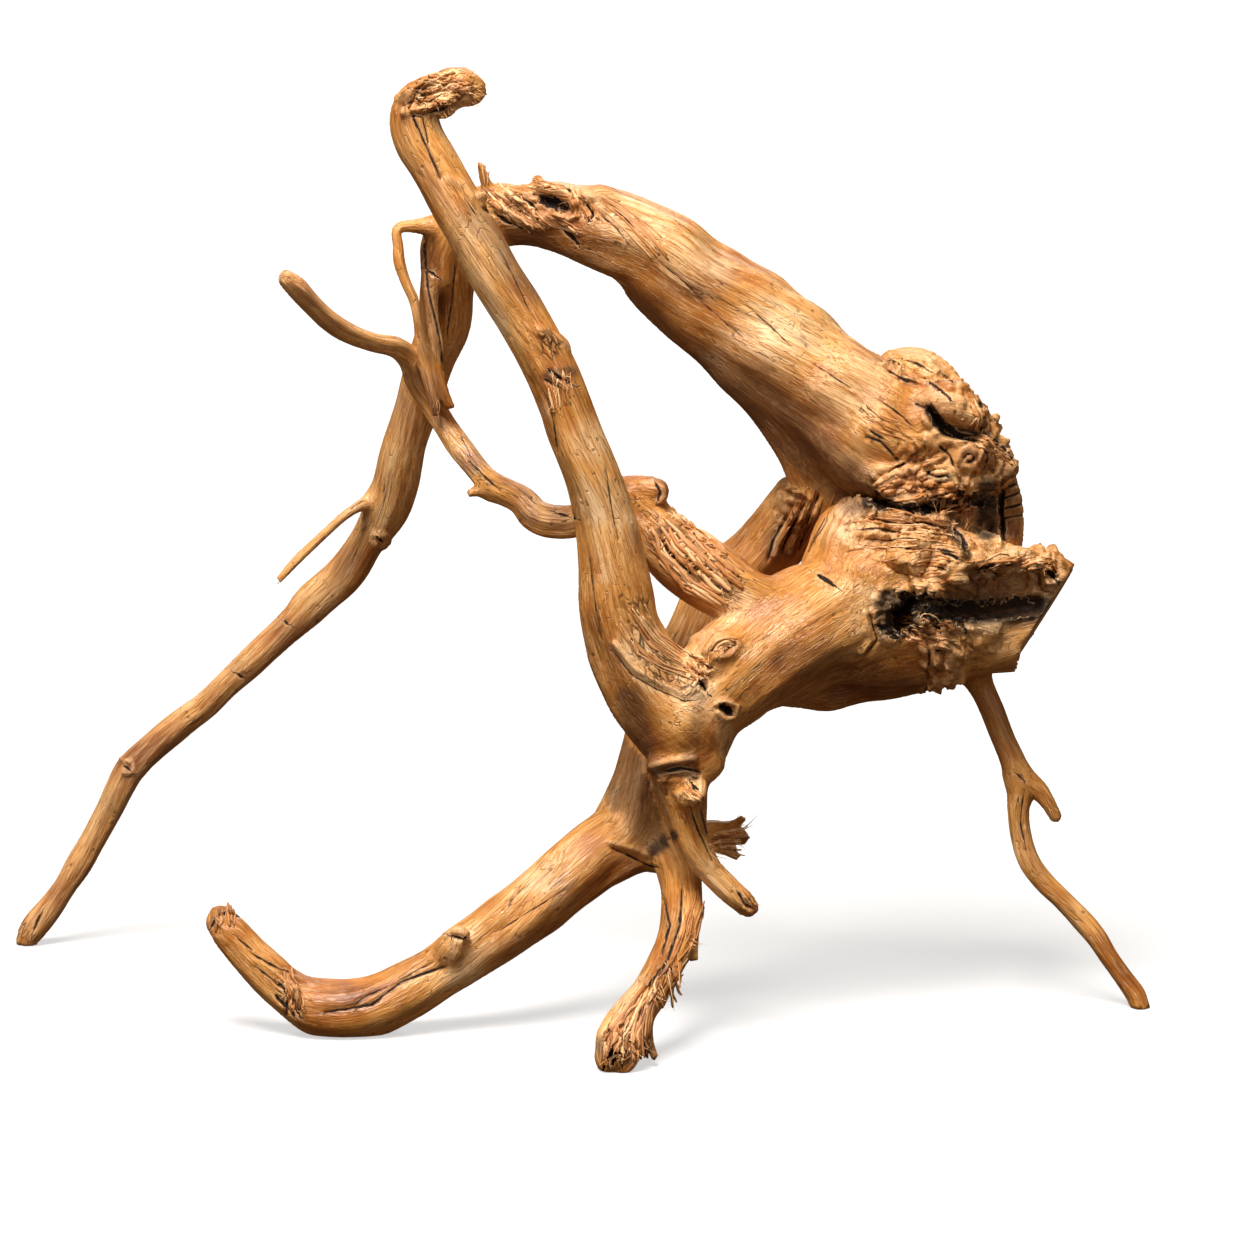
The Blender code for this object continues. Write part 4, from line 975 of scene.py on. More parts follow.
# Stains, and painted shade along the arch's lower front and other shaded sides
STAIN_AND_SHADE_STROKES = [
    (56, 0.85, [(540, 236), (640, 296), (720, 366), (800, 426)]),
    (30, 0.3, [(500, 210), (430, 300), (400, 400)]), (22, 0.9, [(628, 690), (646, 735)]),
    (22, 0.5, [(560, 560), (590, 620), (612, 690)]), (20, 0.5, [(700, 330), (760, 380), (820, 430)]),
    (14, 0.6, [(470, 380), (500, 440), (530, 520)]), (16, 0.5, [(380, 960), (470, 955), (560, 930)]),
    (16, 0.6, [(600, 900), (650, 880)]), (14, 0.7, [(968, 590), (1000, 586), (1046, 580)]),
    (18, 0.5, [(760, 690), (840, 680), (900, 690)]), (12, 0.6, [(672, 900), (668, 940), (650, 980)]),
    (10, 0.5, [(1020, 830), (1040, 880), (1090, 940)]), (12, 0.5, [(410, 110), (404, 150), (430, 200)]),
    (12, 0.5, [(700, 520), (750, 560)]),
]
# Bleached streaks, and painted light on lit rims and over the whole left leg
BLEACH_AND_HIGHLIGHT_STROKES = [
    (7, 1.0, [(1056, 578), (1038, 630), (1016, 674)]), (7, 0.8, [(962, 578), (1000, 570), (1048, 560)]),
    (10, 0.7, [(960, 628), (1000, 624), (1030, 622)]), (16, 0.7, [(690, 650), (720, 620), (742, 600)]),
    (12, 0.7, [(700, 700), (724, 730), (728, 750)]), (10, 0.8, [(616, 650), (650, 684), (690, 694)]),
    (12, 0.8, [(600, 540), (608, 575)]), (8, 0.7, [(860, 590), (880, 600), (900, 590)]),
    (12, 0.6, [(550, 180), (640, 210), (720, 270)]), (10, 0.6, [(430, 170), (470, 250), (500, 320)]),
    (34, 0.45, [(414, 390), (397, 481), (315, 589), (223, 680), (124, 767), (83, 862), (33, 928)]),
    (16, 0.4, [(288, 282), (330, 322), (395, 346)]),
]
print("dark strokes:", len(PAINTED_SHADE_STROKES), "pale strokes:", len(BLEACH_AND_HIGHLIGHT_STROKES))

# %% Which wood a line on the picture runs over
MARK_REACH_PX = 14
VIEW_CELL_PX = 2
VIEW_CELLS = FRAME_PX // VIEW_CELL_PX
BEHIND = 6 * MM
SHADE_BEHIND = 18 * MM
EDGE_ON = 0.15
NO_MARK = 99.0


def beside(seen, line):
    """Signed distance from a polyline, how far along it, and its length: the nearest of its segments."""
    nearest = np.full(len(seen), np.inf)
    along = np.zeros(len(seen))
    before = 0
    for start, end in zip(line[:-1], line[1:]):
        length = np.linalg.norm(end - start)
        way = (end - start) / length
        run = ((seen - start) @ way).clip(0, length)
        offset = seen - start - run[:, None] * way
        far = np.linalg.norm(offset, axis=1) * np.where(offset @ (way[1], -way[0]) < 0, -1, 1)
        closer = np.abs(far) < np.abs(nearest)
        nearest, along = np.where(closer, far, nearest), np.where(closer, before + run, along)
        before += length
    return nearest, along, before


def view_cells(points):
    """The picture cell each point falls in, and how far off it is."""
    cells = (seen_at(points) / VIEW_CELL_PX).astype(int).clip(0, VIEW_CELLS - 1)
    return cells[:, 1], cells[:, 0], (points - EYE) @ FORWARD


def nearest_in_view(points, normals):
    """How far off the nearest surface is in each picture cell, over the cell and its neighbours."""
    rows, columns, far = view_cells(points)
    nearest = np.full((VIEW_CELLS + 2, VIEW_CELLS + 2), np.inf)
    facing = normals @ FORWARD < 0
    np.minimum.at(nearest, (rows[facing] + 1, columns[facing] + 1), far[facing])
    windows = [nearest[down:, across:][:VIEW_CELLS, :VIEW_CELLS] for down in range(3) for across in range(3)]
    return np.min(windows, axis=0)


def in_view(points, normals, behind=BEHIND):
    """Which points the picture's eye sees: those that face it with nothing well in front of them."""
    rows, columns, far = view_cells(points)
    return (normals @ FORWARD < EDGE_ON) & (far < view_depth[rows, columns] + behind)


def near_line(seen, shown, line, reach):
    """The shown points within reach of a line on the picture, with their places beside it."""
    line = np.array(line, float)
    low, high = line.min(axis=0) - reach, line.max(axis=0) + reach
    inside = np.flatnonzero(np.all((seen > low) & (seen < high), axis=1) & shown)
    far, along, length = beside(seen[inside], line)
    close = np.abs(far) < reach
    return inside[close], far[close], along[close], length


def marked(points, normals):
    """For each mark: half width, depth, the points beside it, their distance and run along it, its length."""
    seen, shown, scale = seen_at(points), in_view(points, normals), PIXEL / MM
    for half_width, depth, line in MARKS:
        inside, far, along, length = near_line(seen, shown, line, MARK_REACH_PX)
        if len(inside):
            yield half_width, depth, inside, far * scale, along * scale, length * scale


def brushed(points, normals, strokes, behind=BEHIND):
    """How much strokes on the picture cover each point: their share, fading over the outer half."""
    seen, shown, amount = seen_at(points), in_view(points, normals, behind), np.zeros(len(points))
    for reach, share, line in strokes:
        inside, far, _, _ = near_line(seen, shown, line, reach)
        amount[inside] = np.maximum(amount[inside], share * (1 - smooth(reach / 2, reach, np.abs(far))))
    return amount


def covered(points, normals, spots, strokes):
    """How much soft spots or strokes cover each point, whichever is more."""
    return np.maximum(spotted(points, spots), brushed(points, normals, strokes))


print("picture cells each way:", VIEW_CELLS)

# %% [markdown]
# ## The weather's work in relief
#
# The flutes, fibres and splinters go on first, each point moving along the limbs' way out. The crown's
# wrinkles aren't tied to one limb, so they are noise in plain space whose lattice has itself been
# pushed about by slower noise, which folds it. Cracks and holes are pressed in last.

# %% Heights added to the skin
WRINKLES = [(6.5, 1.7, 11), (3.2, 1.0, 12), (1.7, 0.4, 13)]
WRINKLE_VALLEY = 0.45
FOLD_LENGTH = 8.0
FOLD = 3.5
FOLD_SEED = 20
HOLLOW_SHARE = 0.8
FIBRES_LOST = 0.5
COARSE_SHARE = 0.55
NARROWEST_CLEFT = 0.8
RIDGE_ROUNDING = 1.5
SAW_MARKS = 0.12


def normals_of(mesh, points):
    """The mesh with its points there, and its normals."""
    mesh.vertices.foreach_set("co", points.ravel())
    mesh.update()
    normals = np.empty(len(mesh.vertices) * 3, np.float32)
    mesh.vertex_normals.foreach_get("vector", normals)
    return normals.reshape(-1, 3)


def wrinkles(points):
    """Valleys of folded noise at three sizes, in millimetres: the lattice is moved by slower noise."""
    spots = points / MM
    slow = [rough_noise(spots / FOLD_LENGTH, FOLD_SEED + axis) for axis in range(3)]
    folded = spots + FOLD * np.column_stack(slow)
    sizes = (
        height * (2 * np.abs(rough_noise(folded / width, seed)) - WRINKLE_VALLEY)
        for width, height, seed in WRINKLES
    )
    return sum(sizes)


def drawn_relief(points, normals):
    """What the marks sink and raise, in millimetres: depth times 1 - (distance / half width) squared."""
    sunk, raised = np.zeros(len(points)), np.zeros(len(points))
    for half_width, depth, inside, far, _, _ in marked(points, normals):
        profile = 1 - np.minimum(1, np.abs(far) / max(half_width, NARROWEST_CLEFT)) ** 2
        if depth > 0:
            sunk[inside] = np.maximum(sunk[inside], depth * profile)
        else:
            raised[inside] = np.maximum(raised[inside], -depth * profile**RIDGE_ROUNDING)
    return raised - sunk


def fine_relief(points, normals, heights, hollow):
    """All that is finer than the flutes, in millimetres, at points of the wood."""
    gnarled = np.maximum(covered(points, normals, GNARLED, GNARLED_STROKES), hollow * HOLLOW_SHARE)
    fine = heights[FIBRE] / MM * (1 - FIBRES_LOST * gnarled) + heights[SPLINTER] / MM * spotted(points, TORN)
    return fine + wrinkles(points) * gnarled + drawn_relief(points, normals)


_, way, heights = blended(points, limbs, carved=True)
points += way * (heights[COARSE] * COARSE_SHARE * ~still)[:, None]
normals = normals_of(skin, points)
view_depth = nearest_in_view(points, normals)
hollow = smooth(-2 * MM, 1 * MM, inward) * ~sawn
fine = fine_relief(points, normals, heights * ~still, hollow) * np.where(sawn, SAW_MARKS, 1)
points += normals * fine[:, None] * MM
points = points.clip(cad_low, cad_high)
skin.vertices.foreach_set("co", points.ravel())
skin.update()
print("fine relief from", fine.min().round(1), "to", fine.max().round(1), "mm")

# %% Fewer faces, most of them kept where the wood is rough
TRIANGLES = 195_000
carved = put("carved", skin)
skin.calc_loop_triangles()
modify(carved, "DECIMATE", ratio=TRIANGLES / len(skin.loop_triangles), use_collapse_triangulate=True)
wood_mesh = evaluated(carved)
wood_mesh.name = "driftwood"
driftwood = put("driftwood", wood_mesh)
print("driftwood:", len(wood_mesh.polygons), "triangles")

# %% [markdown]
# ## Grain that follows the limbs
#
# Wood grain runs along the limb, so the finish needs to know, at every place, how far along and round
# which limb it is. Each face takes its two nearest limbs. Its corners get the place in each limb's own
# frame, in millimetres, and a share that is one half where the two limbs are equally near, so that
# the pattern changes over without a seam. It is kept per corner, as neighbouring faces may differ.

# %% Grain coordinates and other values for the finish
GRAIN_LIMBS = len(LIMBS) - len(BURLS)
# down the picture in pixels, and how much painted shade the hollow gets there
HOLLOW_SHADE = ((588, 602), (0.25, 0.95))
CHANGE_OVER = 8 * MM
# millimetres from its end where a mark starts and has its whole width, and how long it has to be for that
MARK_TAPER = (-0.5, 4)
LONG_MARK = 12


def grain_coordinates(points, corners):
    """For each face corner: the place in the nearest limb's frame, in the second's, and the first's share."""
    nearness = np.full((GRAIN_LIMBS, len(points)), np.inf)
    places = np.zeros((GRAIN_LIMBS, len(points), 3))
    for limb in limbs[:GRAIN_LIMBS]:
        near = np.flatnonzero(limb.near(points))
        for part in np.array_split(near, 1 + len(near) // CHUNK):
            far, _, (turned, row, run) = limb.measure(points[part])
            radius = far + limb.radii[row.round().astype(int).clip(0, len(limb.radii) - 1)]
            turned = turned + run * FLUTE_TWIST
            spot = np.column_stack([radius * np.cos(turned), radius * np.sin(turned), run + limb.number])
            nearness[limb.number, part], places[limb.number, part] = far, spot / MM
    by_face = nearness[:, corners].mean(axis=2)
    first = by_face.argmin(axis=0)
    by_face[first, np.arange(len(corners))] = np.inf
    second = by_face.argmin(axis=0)
    second = np.where(np.isfinite(by_face.min(axis=0)), second, first)
    gap = nearness[second[:, None], corners] - nearness[first[:, None], corners]
    share = np.where(second[:, None] == first[:, None], 1, (0.5 + gap / CHANGE_OVER).clip(0, 1))
    return places[first[:, None], corners], places[second[:, None], corners], share


def mark_coordinates(points, normals, corners):
    """For each face corner: the distance from the nearest mark, the mark's half width there, its depth."""
    values = np.full((len(corners), 3, 3), (NO_MARK, 0, 0), float)
    best = np.full(len(corners), np.inf)
    for half_width, depth, inside, far, along, length in marked(points, normals):
        if depth < 0:
            continue
        here = np.full((len(points), 2), np.nan)
        taper = smooth(*MARK_TAPER, np.minimum(along, length - along)) if length > LONG_MARK else 1
        here[inside] = np.column_stack([far, half_width * taper * np.ones(len(far))])
        distance = np.abs(here[corners, 0].mean(axis=1)) - half_width
        closer = np.flatnonzero(distance < best)
        best[closer] = distance[closer]
        values[closer, :, :2] = here[corners[closer]]
        values[closer, :, 2] = depth
    return values


def write_attribute(mesh, name, kind, domain, values):
    """Stores an array of numbers or vectors on the mesh's points or face corners."""
    made = mesh.attributes.new(name, kind, domain)
    made.data.foreach_set("vector" if kind == "FLOAT_VECTOR" else "value", values.astype(np.float32).ravel())


points = points_of(wood_mesh)
normals = normals_of(wood_mesh, points)
corners = np.empty(len(wood_mesh.loops), np.int32)
wood_mesh.loops.foreach_get("vertex_index", corners)
corners = corners.reshape(-1, 3)
inward, sawn, still = kept_still(points)
hollow = smooth(-2.5 * MM, 0.5 * MM, inward) * ~sawn
_, _, heights = blended(points, limbs, carved=True)
fine = fine_relief(points, normals, heights, hollow)

first_place, second_place, first_share = grain_coordinates(points, corners)
write_attribute(wood_mesh, "grain_first", "FLOAT_VECTOR", "CORNER", first_place)
write_attribute(wood_mesh, "grain_second", "FLOAT_VECTOR", "CORNER", second_place)
write_attribute(wood_mesh, "grain_share", "FLOAT", "CORNER", first_share)
write_attribute(wood_mesh, "mark", "FLOAT_VECTOR", "CORNER", mark_coordinates(points, normals, corners))
write_attribute(wood_mesh, "relief", "FLOAT", "POINT", fine)
gnarled = np.maximum(covered(points, normals, GNARLED, GNARLED_STROKES), hollow)
charred = brushed(points, normals, CHARRED_STROKES)
rough_places = np.column_stack([gnarled, spotted(points, ETCHED), charred])
write_attribute(wood_mesh, "rough_places", "FLOAT_VECTOR", "POINT", rough_places)
# Painted shade: the dark strokes, and the crown's hollow, a quarter dark at its top and nearly black lower
# down
painted_hollow_shade = hollow * np.interp(seen_at(points)[:, 1], *HOLLOW_SHADE)
painted_shade = np.maximum(brushed(points, normals, PAINTED_SHADE_STROKES, SHADE_BEHIND), painted_hollow_shade)
bleach_and_highlight = covered(points, normals, BLEACH_AND_HIGHLIGHT_SPOTS, BLEACH_AND_HIGHLIGHT_STROKES)
stain_and_shade = covered(points, normals, STAIN_AND_SHADE_SPOTS, STAIN_AND_SHADE_STROKES)
write_attribute(wood_mesh, "shade_highlight_stain", "FLOAT_VECTOR", "POINT", np.column_stack([painted_shade, bleach_and_highlight, stain_and_shade]))
wood_mesh.shade_smooth()
print("corners with a second limb's grain:", int((first_share < 1).sum()))

# %% [markdown]
# ## Finish: bleached root wood
#
# The wood is a dense hardwood root, bare of bark, tumbled by water and then dried. That leaves a
# satin face, warm orange-brown where the resin stayed and cream where the fibres bleached. Shade and
# light are painted on as well: near-black in cracks and in the rotted hollows, brown under limbs and
# in grooves, and pale highlights on raised relief and on the rims of cracks. Its fibres show as
# streaks about 2 mm wide and much longer, with hair-fine lines between them. Dry wood's IOR is about
# 1.5. Its roughness is 0.3 to 0.45 where water has worn it smooth, and near 0.9 in the cracks, the
# charred wood and the painted shade. Every long texture is read in grain coordinates, so it bends
# with the limbs, and the rest in plain space.

# %% Textures in the grain's own coordinates
# (width, length) of a pattern along the grain, in millimetres
STREAK = (1.9, 30)
BAND = (7.5, 90)
HAIR = (0.55, 9)
CHECK_LINE = (3.4, 50)
NET = (1.7, 5.5)
CONTOUR = (5.0, 24)
# the width, in metres, of a pattern that has no grain
BLOTCH, JAG, PORE = 0.026, 0.0035, 0.006
SOFT = {"interpolation_type": "SMOOTHSTEP"}

wood, tree, shader = new_material("bleached_root_wood", IOR=1.5, Specular_IOR_Level=0.45)
object_place = add(tree, "TexCoord", output="Object")
limb_maps = [
    add(tree, "Attribute", output="Vector", attribute_name=name) for name in ("grain_first", "grain_second")
]
first_share = add(tree, "Attribute", output="Fac", attribute_name="grain_share")


def along_grain(size, kind="TexNoise", settings=None, **inputs):
    """A texture read in both limbs' grain coordinates and mixed by the first one's share."""
    scale = (1 / size[0], 1 / size[0], 1 / size[1])
    stretched = [add(tree, "Mapping", {"Vector": grain, "Scale": scale}) for grain in limb_maps]
    first, second = (
        add(tree, kind, {"Vector": grain, "Scale": 1, **inputs}, **(settings or {})) for grain in stretched
    )
    return add(tree, "Mix", {"Factor": first_share, "A": second, "B": first})


streak = along_grain(STREAK, Detail=4, Roughness=0.6, Distortion=0.25)
band = along_grain(BAND, Detail=3, Roughness=0.55, Distortion=0.4)
hair = along_grain(HAIR, Detail=2, Roughness=0.6)
check_line = along_grain(CHECK_LINE, Detail=2, Roughness=0.5, Distortion=0.3)
contour = along_grain(CONTOUR, Detail=2, Roughness=0.45, Distortion=0.6)
net = along_grain(NET, "TexVoronoi", {"feature": "DISTANCE_TO_EDGE"})
blotch, jag = (
    add(tree, "TexNoise", {"Vector": object_place, "Scale": 1 / width, "Detail": detail})
    for width, detail in ((BLOTCH, 4), (JAG, 3))
)
pore = add(tree, "TexVoronoi", {"Vector": object_place, "Scale": 1 / PORE})
print("nodes for the textures:", len(tree.nodes))

# %% What each place on the wood is
relief = add(tree, "Attribute", output="Fac", attribute_name="relief")
rough_places, shade_highlight_stain, mark = (
    add(tree, "SeparateXYZ", (add(tree, "Attribute", output="Vector", attribute_name=name),)).node.outputs
    for name in ("rough_places", "shade_highlight_stain", "mark")
)
gnarled, etched, charred = rough_places
# painted shade; bleaching with painted highlights; stains with painted shade
painted_shade, bleach_and_highlight, stain_and_shade = shade_highlight_stain
off_middle, half_width, _ = mark

banded = add(tree, "MapRange", (band, 0.50, 0.62, 0, 1), **SOFT)
off_check = add(tree, "Math", (check_line, 0.5), operation="SUBTRACT")
off_check = add(tree, "Math", (off_check,), operation="ABSOLUTE")

# The contour noise, times the number of lines, leaves a remainder; a line runs where that is a half.
CONTOURS = 11
rung = add(tree, "Math", (contour, CONTOURS), operation="MULTIPLY")
rung = add(tree, "Math", (rung,), operation="FRACT")
rung = add(tree, "Math", (rung, 0.5), operation="SUBTRACT")
rung = add(tree, "Math", (rung,), operation="ABSOLUTE")
engraved = add(tree, "Math", (etched, gnarled), operation="MAXIMUM")
engraved = add(tree, "Math", (engraved, 0.75), operation="MULTIPLY")
some_lines = add(tree, "MapRange", (blotch, 0.40, 0.60, 0.15, 0.60), **SOFT)
engraved = add(tree, "Math", (engraved, some_lines), operation="MAXIMUM")
speckled = add(tree, "Math", (blotch, 0.5), operation="GREATER_THAN")

# How far inside a cleft's edge a place is, in millimetres: the edge is jagged, and its line wanders.
WANDER_MM = 0.8
off_middle = add(tree, "Math", (jag, WANDER_MM, off_middle), operation="MULTIPLY_ADD")
off_middle = add(tree, "Math", (off_middle, WANDER_MM / 2), operation="SUBTRACT")
off_middle = add(tree, "Math", (off_middle,), operation="ABSOLUTE")
edge = add(tree, "MapRange", (jag, 0.36, 0.62, 0.15, 1.15), **SOFT)
edge = add(tree, "Math", (edge, half_width), operation="MULTIPLY")
cleft = add(tree, "Math", (edge, off_middle), operation="SUBTRACT")
# A painted highlight along each cleft's rim, and painted shade that deepens towards the cleft
lip_outside = add(tree, "MapRange", (cleft, -1.0, -0.45, 0, 1), **SOFT)
lip_inside = add(tree, "MapRange", (cleft, -0.15, -0.45, 0, 1), **SOFT)
rim_highlight = add(tree, "Math", (lip_outside, lip_inside), operation="MULTIPLY")
crack_edge_shade = add(tree, "MapRange", (half_width, 0.05, 0.6, 0.2, 0.7), **SOFT)
print("nodes with the places:", len(tree.nodes))

# %% Its colour, in layers, and the small relief
STOPS = [(0.37, "#7A4210"), (0.44, "#A96828"), (0.50, "#C48742"), (0.56, "#D49D5C"), (0.64, "#E6C091")]
TONE_SHARES = ((streak, 0.25), (band, 0.25), (blotch, 0.50))
charred_share = add(tree, "MapRange", (streak, 0.4, 0.6, 0, 1), **SOFT)
charred_tone = {0: charred_share, 6: linear("#120D08"), 7: linear("#54432F")}
charred_tone = add(tree, "Mix", charred_tone, 2, data_type="RGBA")
# (where, what varies, from, to, share at from, share at to, colour, how deep it is pressed in)
LAYERS = [
    # stains, and painted shade on undersides and in creases
    (stain_and_shade, band, 0.3, 0.6, 0.35, 0.75, linear("#8A4F1E"), 0),
    # bleached streaks, and painted highlights on lit tops
    (bleach_and_highlight, streak, 0.35, 0.6, 0.1, 0.65, linear("#EBC99C"), 0),
    (1, hair, 0.48, 0.34, 0, 0.5, linear("#84491A"), 0),
    (1, hair, 0.54, 0.68, 0, 0.35, linear("#EFCB9A"), 0),
    # painted highlight on raised relief
    (1, relief, 0.15, 1.3, 0, 0.4, linear("#E3B684"), 0),
    # painted shade in sunk relief
    (1, relief, -0.1, -0.9, 0, 0.8, linear("#4A2810"), 0),
    (banded, off_check, 0.010, 0.002, 0, 0.8, linear("#3A2110"), 0.625),
    (engraved, rung, 0.10, 0, 0, 0.6, linear("#5E3210"), 1.0),
    (etched, net, 0.17, 0.03, 0, 0.85, linear("#3E2411"), 1.06),
    (speckled, pore, 0.16, 0.07, 0, 0.55, linear("#5A3416"), 0.545),
    # painted shade: near-black in hollows and slots, brown under limbs
    (painted_shade, streak, 0.35, 0.65, 0.98, 0.86, linear("#160A03"), 0),
    (charred, 1, 0, 1, 0, 0.93, charred_tone, 0),
    # painted highlight on the rim of each crack
    (rim_highlight, half_width, 0.1, 0.6, 0, 0.45, linear("#F0D2A4"), 0),
    # painted shade darkening towards the crack
    (crack_edge_shade, cleft, -0.45, 0.05, 0, 1, linear("#6B3A16"), 0),
    # painted shade: near-black inside the crack, which is also pressed in
    (1, cleft, -0.12, 0.08, 0, 0.95, linear("#120803"), 0.8),
]

tone = 0
for texture, part in TONE_SHARES:
    tone = add(tree, "Math", (texture, part, tone), operation="MULTIPLY_ADD")
colour = add(tree, "ValToRGB", (tone,))
stops = colour.node.color_ramp.elements
while len(stops) < len(STOPS):
    stops.new(0.5)
for element, (where, hex_colour) in zip(stops, STOPS):
    element.position, element.color = where, linear(hex_colour)

height = add(tree, "Math", (hair, 0.55), operation="MULTIPLY")
height = add(tree, "Math", (streak, 0.5, height), operation="MULTIPLY_ADD")
for where, varying, start, end, at_start, at_end, over, pressed in LAYERS:
    share = add(tree, "MapRange", (varying, start, end, at_start, at_end), **SOFT)
    share = add(tree, "Math", (share, where), operation="MULTIPLY")
    colour = add(tree, "Mix", {0: share, 6: colour, 7: over}, 2, data_type="RGBA")
    if pressed:
        height = add(tree, "Math", (share, -pressed, height), operation="MULTIPLY_ADD")
tree.links.new(colour, shader.inputs["Base Color"])
print("layers of colour:", len(LAYERS))

# %% Its gloss and its bump
BUMP_HEIGHT = 0.9 * MM
rough = add(tree, "MapRange", (band, 0.35, 0.65, 0.44, 0.30), **SOFT)
hidden = share
for place_share in (painted_shade, charred):
    hidden = add(tree, "Math", (hidden, place_share), operation="MAXIMUM")
rough = add(tree, "Math", (hidden, 0.45, rough), operation="MULTIPLY_ADD")
tree.links.new(rough, shader.inputs["Roughness"])
bump = add(tree, "Bump", {"Height": height, "Strength": 0.7, "Distance": BUMP_HEIGHT})
tree.links.new(bump, shader.inputs["Normal"])
wood_mesh.materials.clear()
wood_mesh.materials.append(wood)
print("nodes in the wood's material:", len(tree.nodes))

# %% [markdown]
# ## Torn fibres
#
# Where roots were torn off, the ends are brushes of loose fibres, and a few hairs peel off elsewhere.
# Particle hair would do it, but a fixed set of closed, tapered strands exports as plain mesh. Each
# tuft is written as a place on the picture, the way its fibres point there and towards the viewer,
# and their number, length, thickness and spread. The fibres start on the wood that is in front there.

# %% Strands rooted in the wood
# (across, down, way across, way down, way towards the viewer, count, length, radius, spread, root px)
TUFTS = [
    (470, 84, 0.9, -0.7, 0.2, 12, 5, 0.28, 0.6, 9), (474, 96, 1, 0.3, 0.2, 9, 4, 0.28, 0.5, 8),
    (444, 84, 0, -0.6, 0.6, 10, 6, 0.25, 0.7, 9), (442, 110, 0.5, 1, 0.3, 10, 5, 0.22, 0.6, 8),
    (545, 196, -1, -0.6, 0.3, 9, 8, 0.35, 0.4, 9), (515, 198, -0.8, -0.2, 0.5, 9, 9, 0.32, 0.4, 10),
    (575, 198, -1, -0.3, 0.4, 8, 8, 0.35, 0.4, 8), (486, 180, 0.7, -1, 0, 4, 5, 0.25, 0.6, 5),
    (560, 376, 0.3, 0.3, 1, 9, 5, 0.3, 0.9, 6), (548, 410, 0.4, -0.2, 0.8, 5, 5, 0.25, 0.8, 5),
    (222, 922, -0.3, -1, 0.2, 10, 4, 0.28, 0.5, 7), (288, 990, -0.2, 0.4, 0.9, 8, 5, 0.25, 0.7, 7),
    (747, 904, 1, 0.5, 0.1, 12, 4, 0.28, 0.6, 5), (735, 830, 1, -0.7, 0.1, 9, 7, 0.35, 0.6, 6),
    (730, 840, 1, 0.3, 0.1, 8, 6, 0.35, 0.6, 6), (712, 848, 0.9, 0.5, 0.2, 8, 6, 0.3, 0.6, 7),
    (618, 1046, 0, 0.7, 0.5, 26, 6, 0.32, 0.7, 13), (636, 1040, 0.8, 0.8, 0.3, 9, 8, 0.3, 0.5, 8),
    (606, 1030, -0.6, 0.8, 0.3, 7, 5, 0.28, 0.5, 6), (690, 940, 1, 0.5, 0.1, 8, 6, 0.25, 0.7, 8),
    (652, 985, 0.6, 0.9, 0.6, 10, 9, 0.3, 0.3, 10), (668, 960, 0.4, 1, 0.6, 8, 9, 0.3, 0.3, 10),
    (700, 664, 0.5, 0.7, 0.9, 12, 5, 0.25, 0.8, 12), (724, 650, 0.7, 0.2, 0.8, 8, 4, 0.25, 0.9, 7),
    (735, 600, 0.6, 0.5, 0.7, 9, 5, 0.28, 0.6, 8), (690, 560, 0.7, 0.5, 0.7, 10, 6, 0.28, 0.5, 16),
    (720, 582, 0.7, 0.5, 0.7, 8, 6, 0.28, 0.5, 10), (945, 520, 0.2, -0.7, 0.7, 14, 6, 0.3, 0.8, 14),
    (968, 522, 0.4, -0.7, 0.5, 9, 6, 0.3, 0.8, 8), (990, 560, 0.6, -0.6, 0.4, 10, 5, 0.3, 0.7, 12),
    (1050, 566, 0.8, -0.4, 0.3, 8, 4, 0.3, 0.7, 8), (975, 436, 0.7, 0.4, 0.5, 9, 4, 0.26, 0.8, 8),
    (1000, 455, 0.8, 0, 0.4, 8, 4, 0.26, 0.8, 8), (915, 478, 0.2, 0.4, 1, 8, 4, 0.26, 0.9, 10),
    (436, 402, 0.3, 1, 0.2, 7, 5, 0.25, 0.4, 5), (402, 232, -0.8, -0.3, 0.2, 5, 3, 0.22, 0.6, 4),
    (452, 936, -0.2, -1, 0.4, 6, 4, 0.26, 0.5, 5), (288, 282, -0.6, -0.8, 0.2, 7, 3, 0.25, 0.6, 4),
    (280, 580, -0.6, 1, 0, 4, 3, 0.2, 0.3, 3), (1050, 810, 0.4, 0.8, 0.2, 5, 3, 0.22, 0.6, 4),
    (30, 934, -0.5, 0.7, 0.3, 6, 3, 0.22, 0.6, 4),
]
STRAND_RINGS = 7
STRAND_SIDES = 5
ROOTED = 0.6 * MM
CURL = 0.5
TAPER = 0.85
STRAND_SIZES = (0.45, 1.1)
FRONT_LAYER = 4 * MM


def strands(roots, ways, lengths, radii, curls):
    """Tubes root + way * length * t + curl * length * t^2, with radius * (1 - taper * t), all in one go."""
    t = np.linspace(0, 1, STRAND_RINGS)[None, :, None]
    length = lengths[:, None, None]
    centres = roots[:, None] + ways[:, None] * length * t + curls[:, None] * length * t**2
    side = np.cross(ways, FIRST_SIDE)
    side /= np.linalg.norm(side, axis=1)[:, None]
    other = np.cross(ways, side)
    turn = np.arange(STRAND_SIDES) * 2 * math.pi / STRAND_SIDES
    spokes = side[:, None] * np.cos(turn)[:, None] + other[:, None] * np.sin(turn)[:, None]
    thin = radii[:, None, None] * (1 - TAPER * t)
    return (centres[:, :, None] + spokes[:, None] * thin[..., None]).reshape(len(roots), -1, 3)


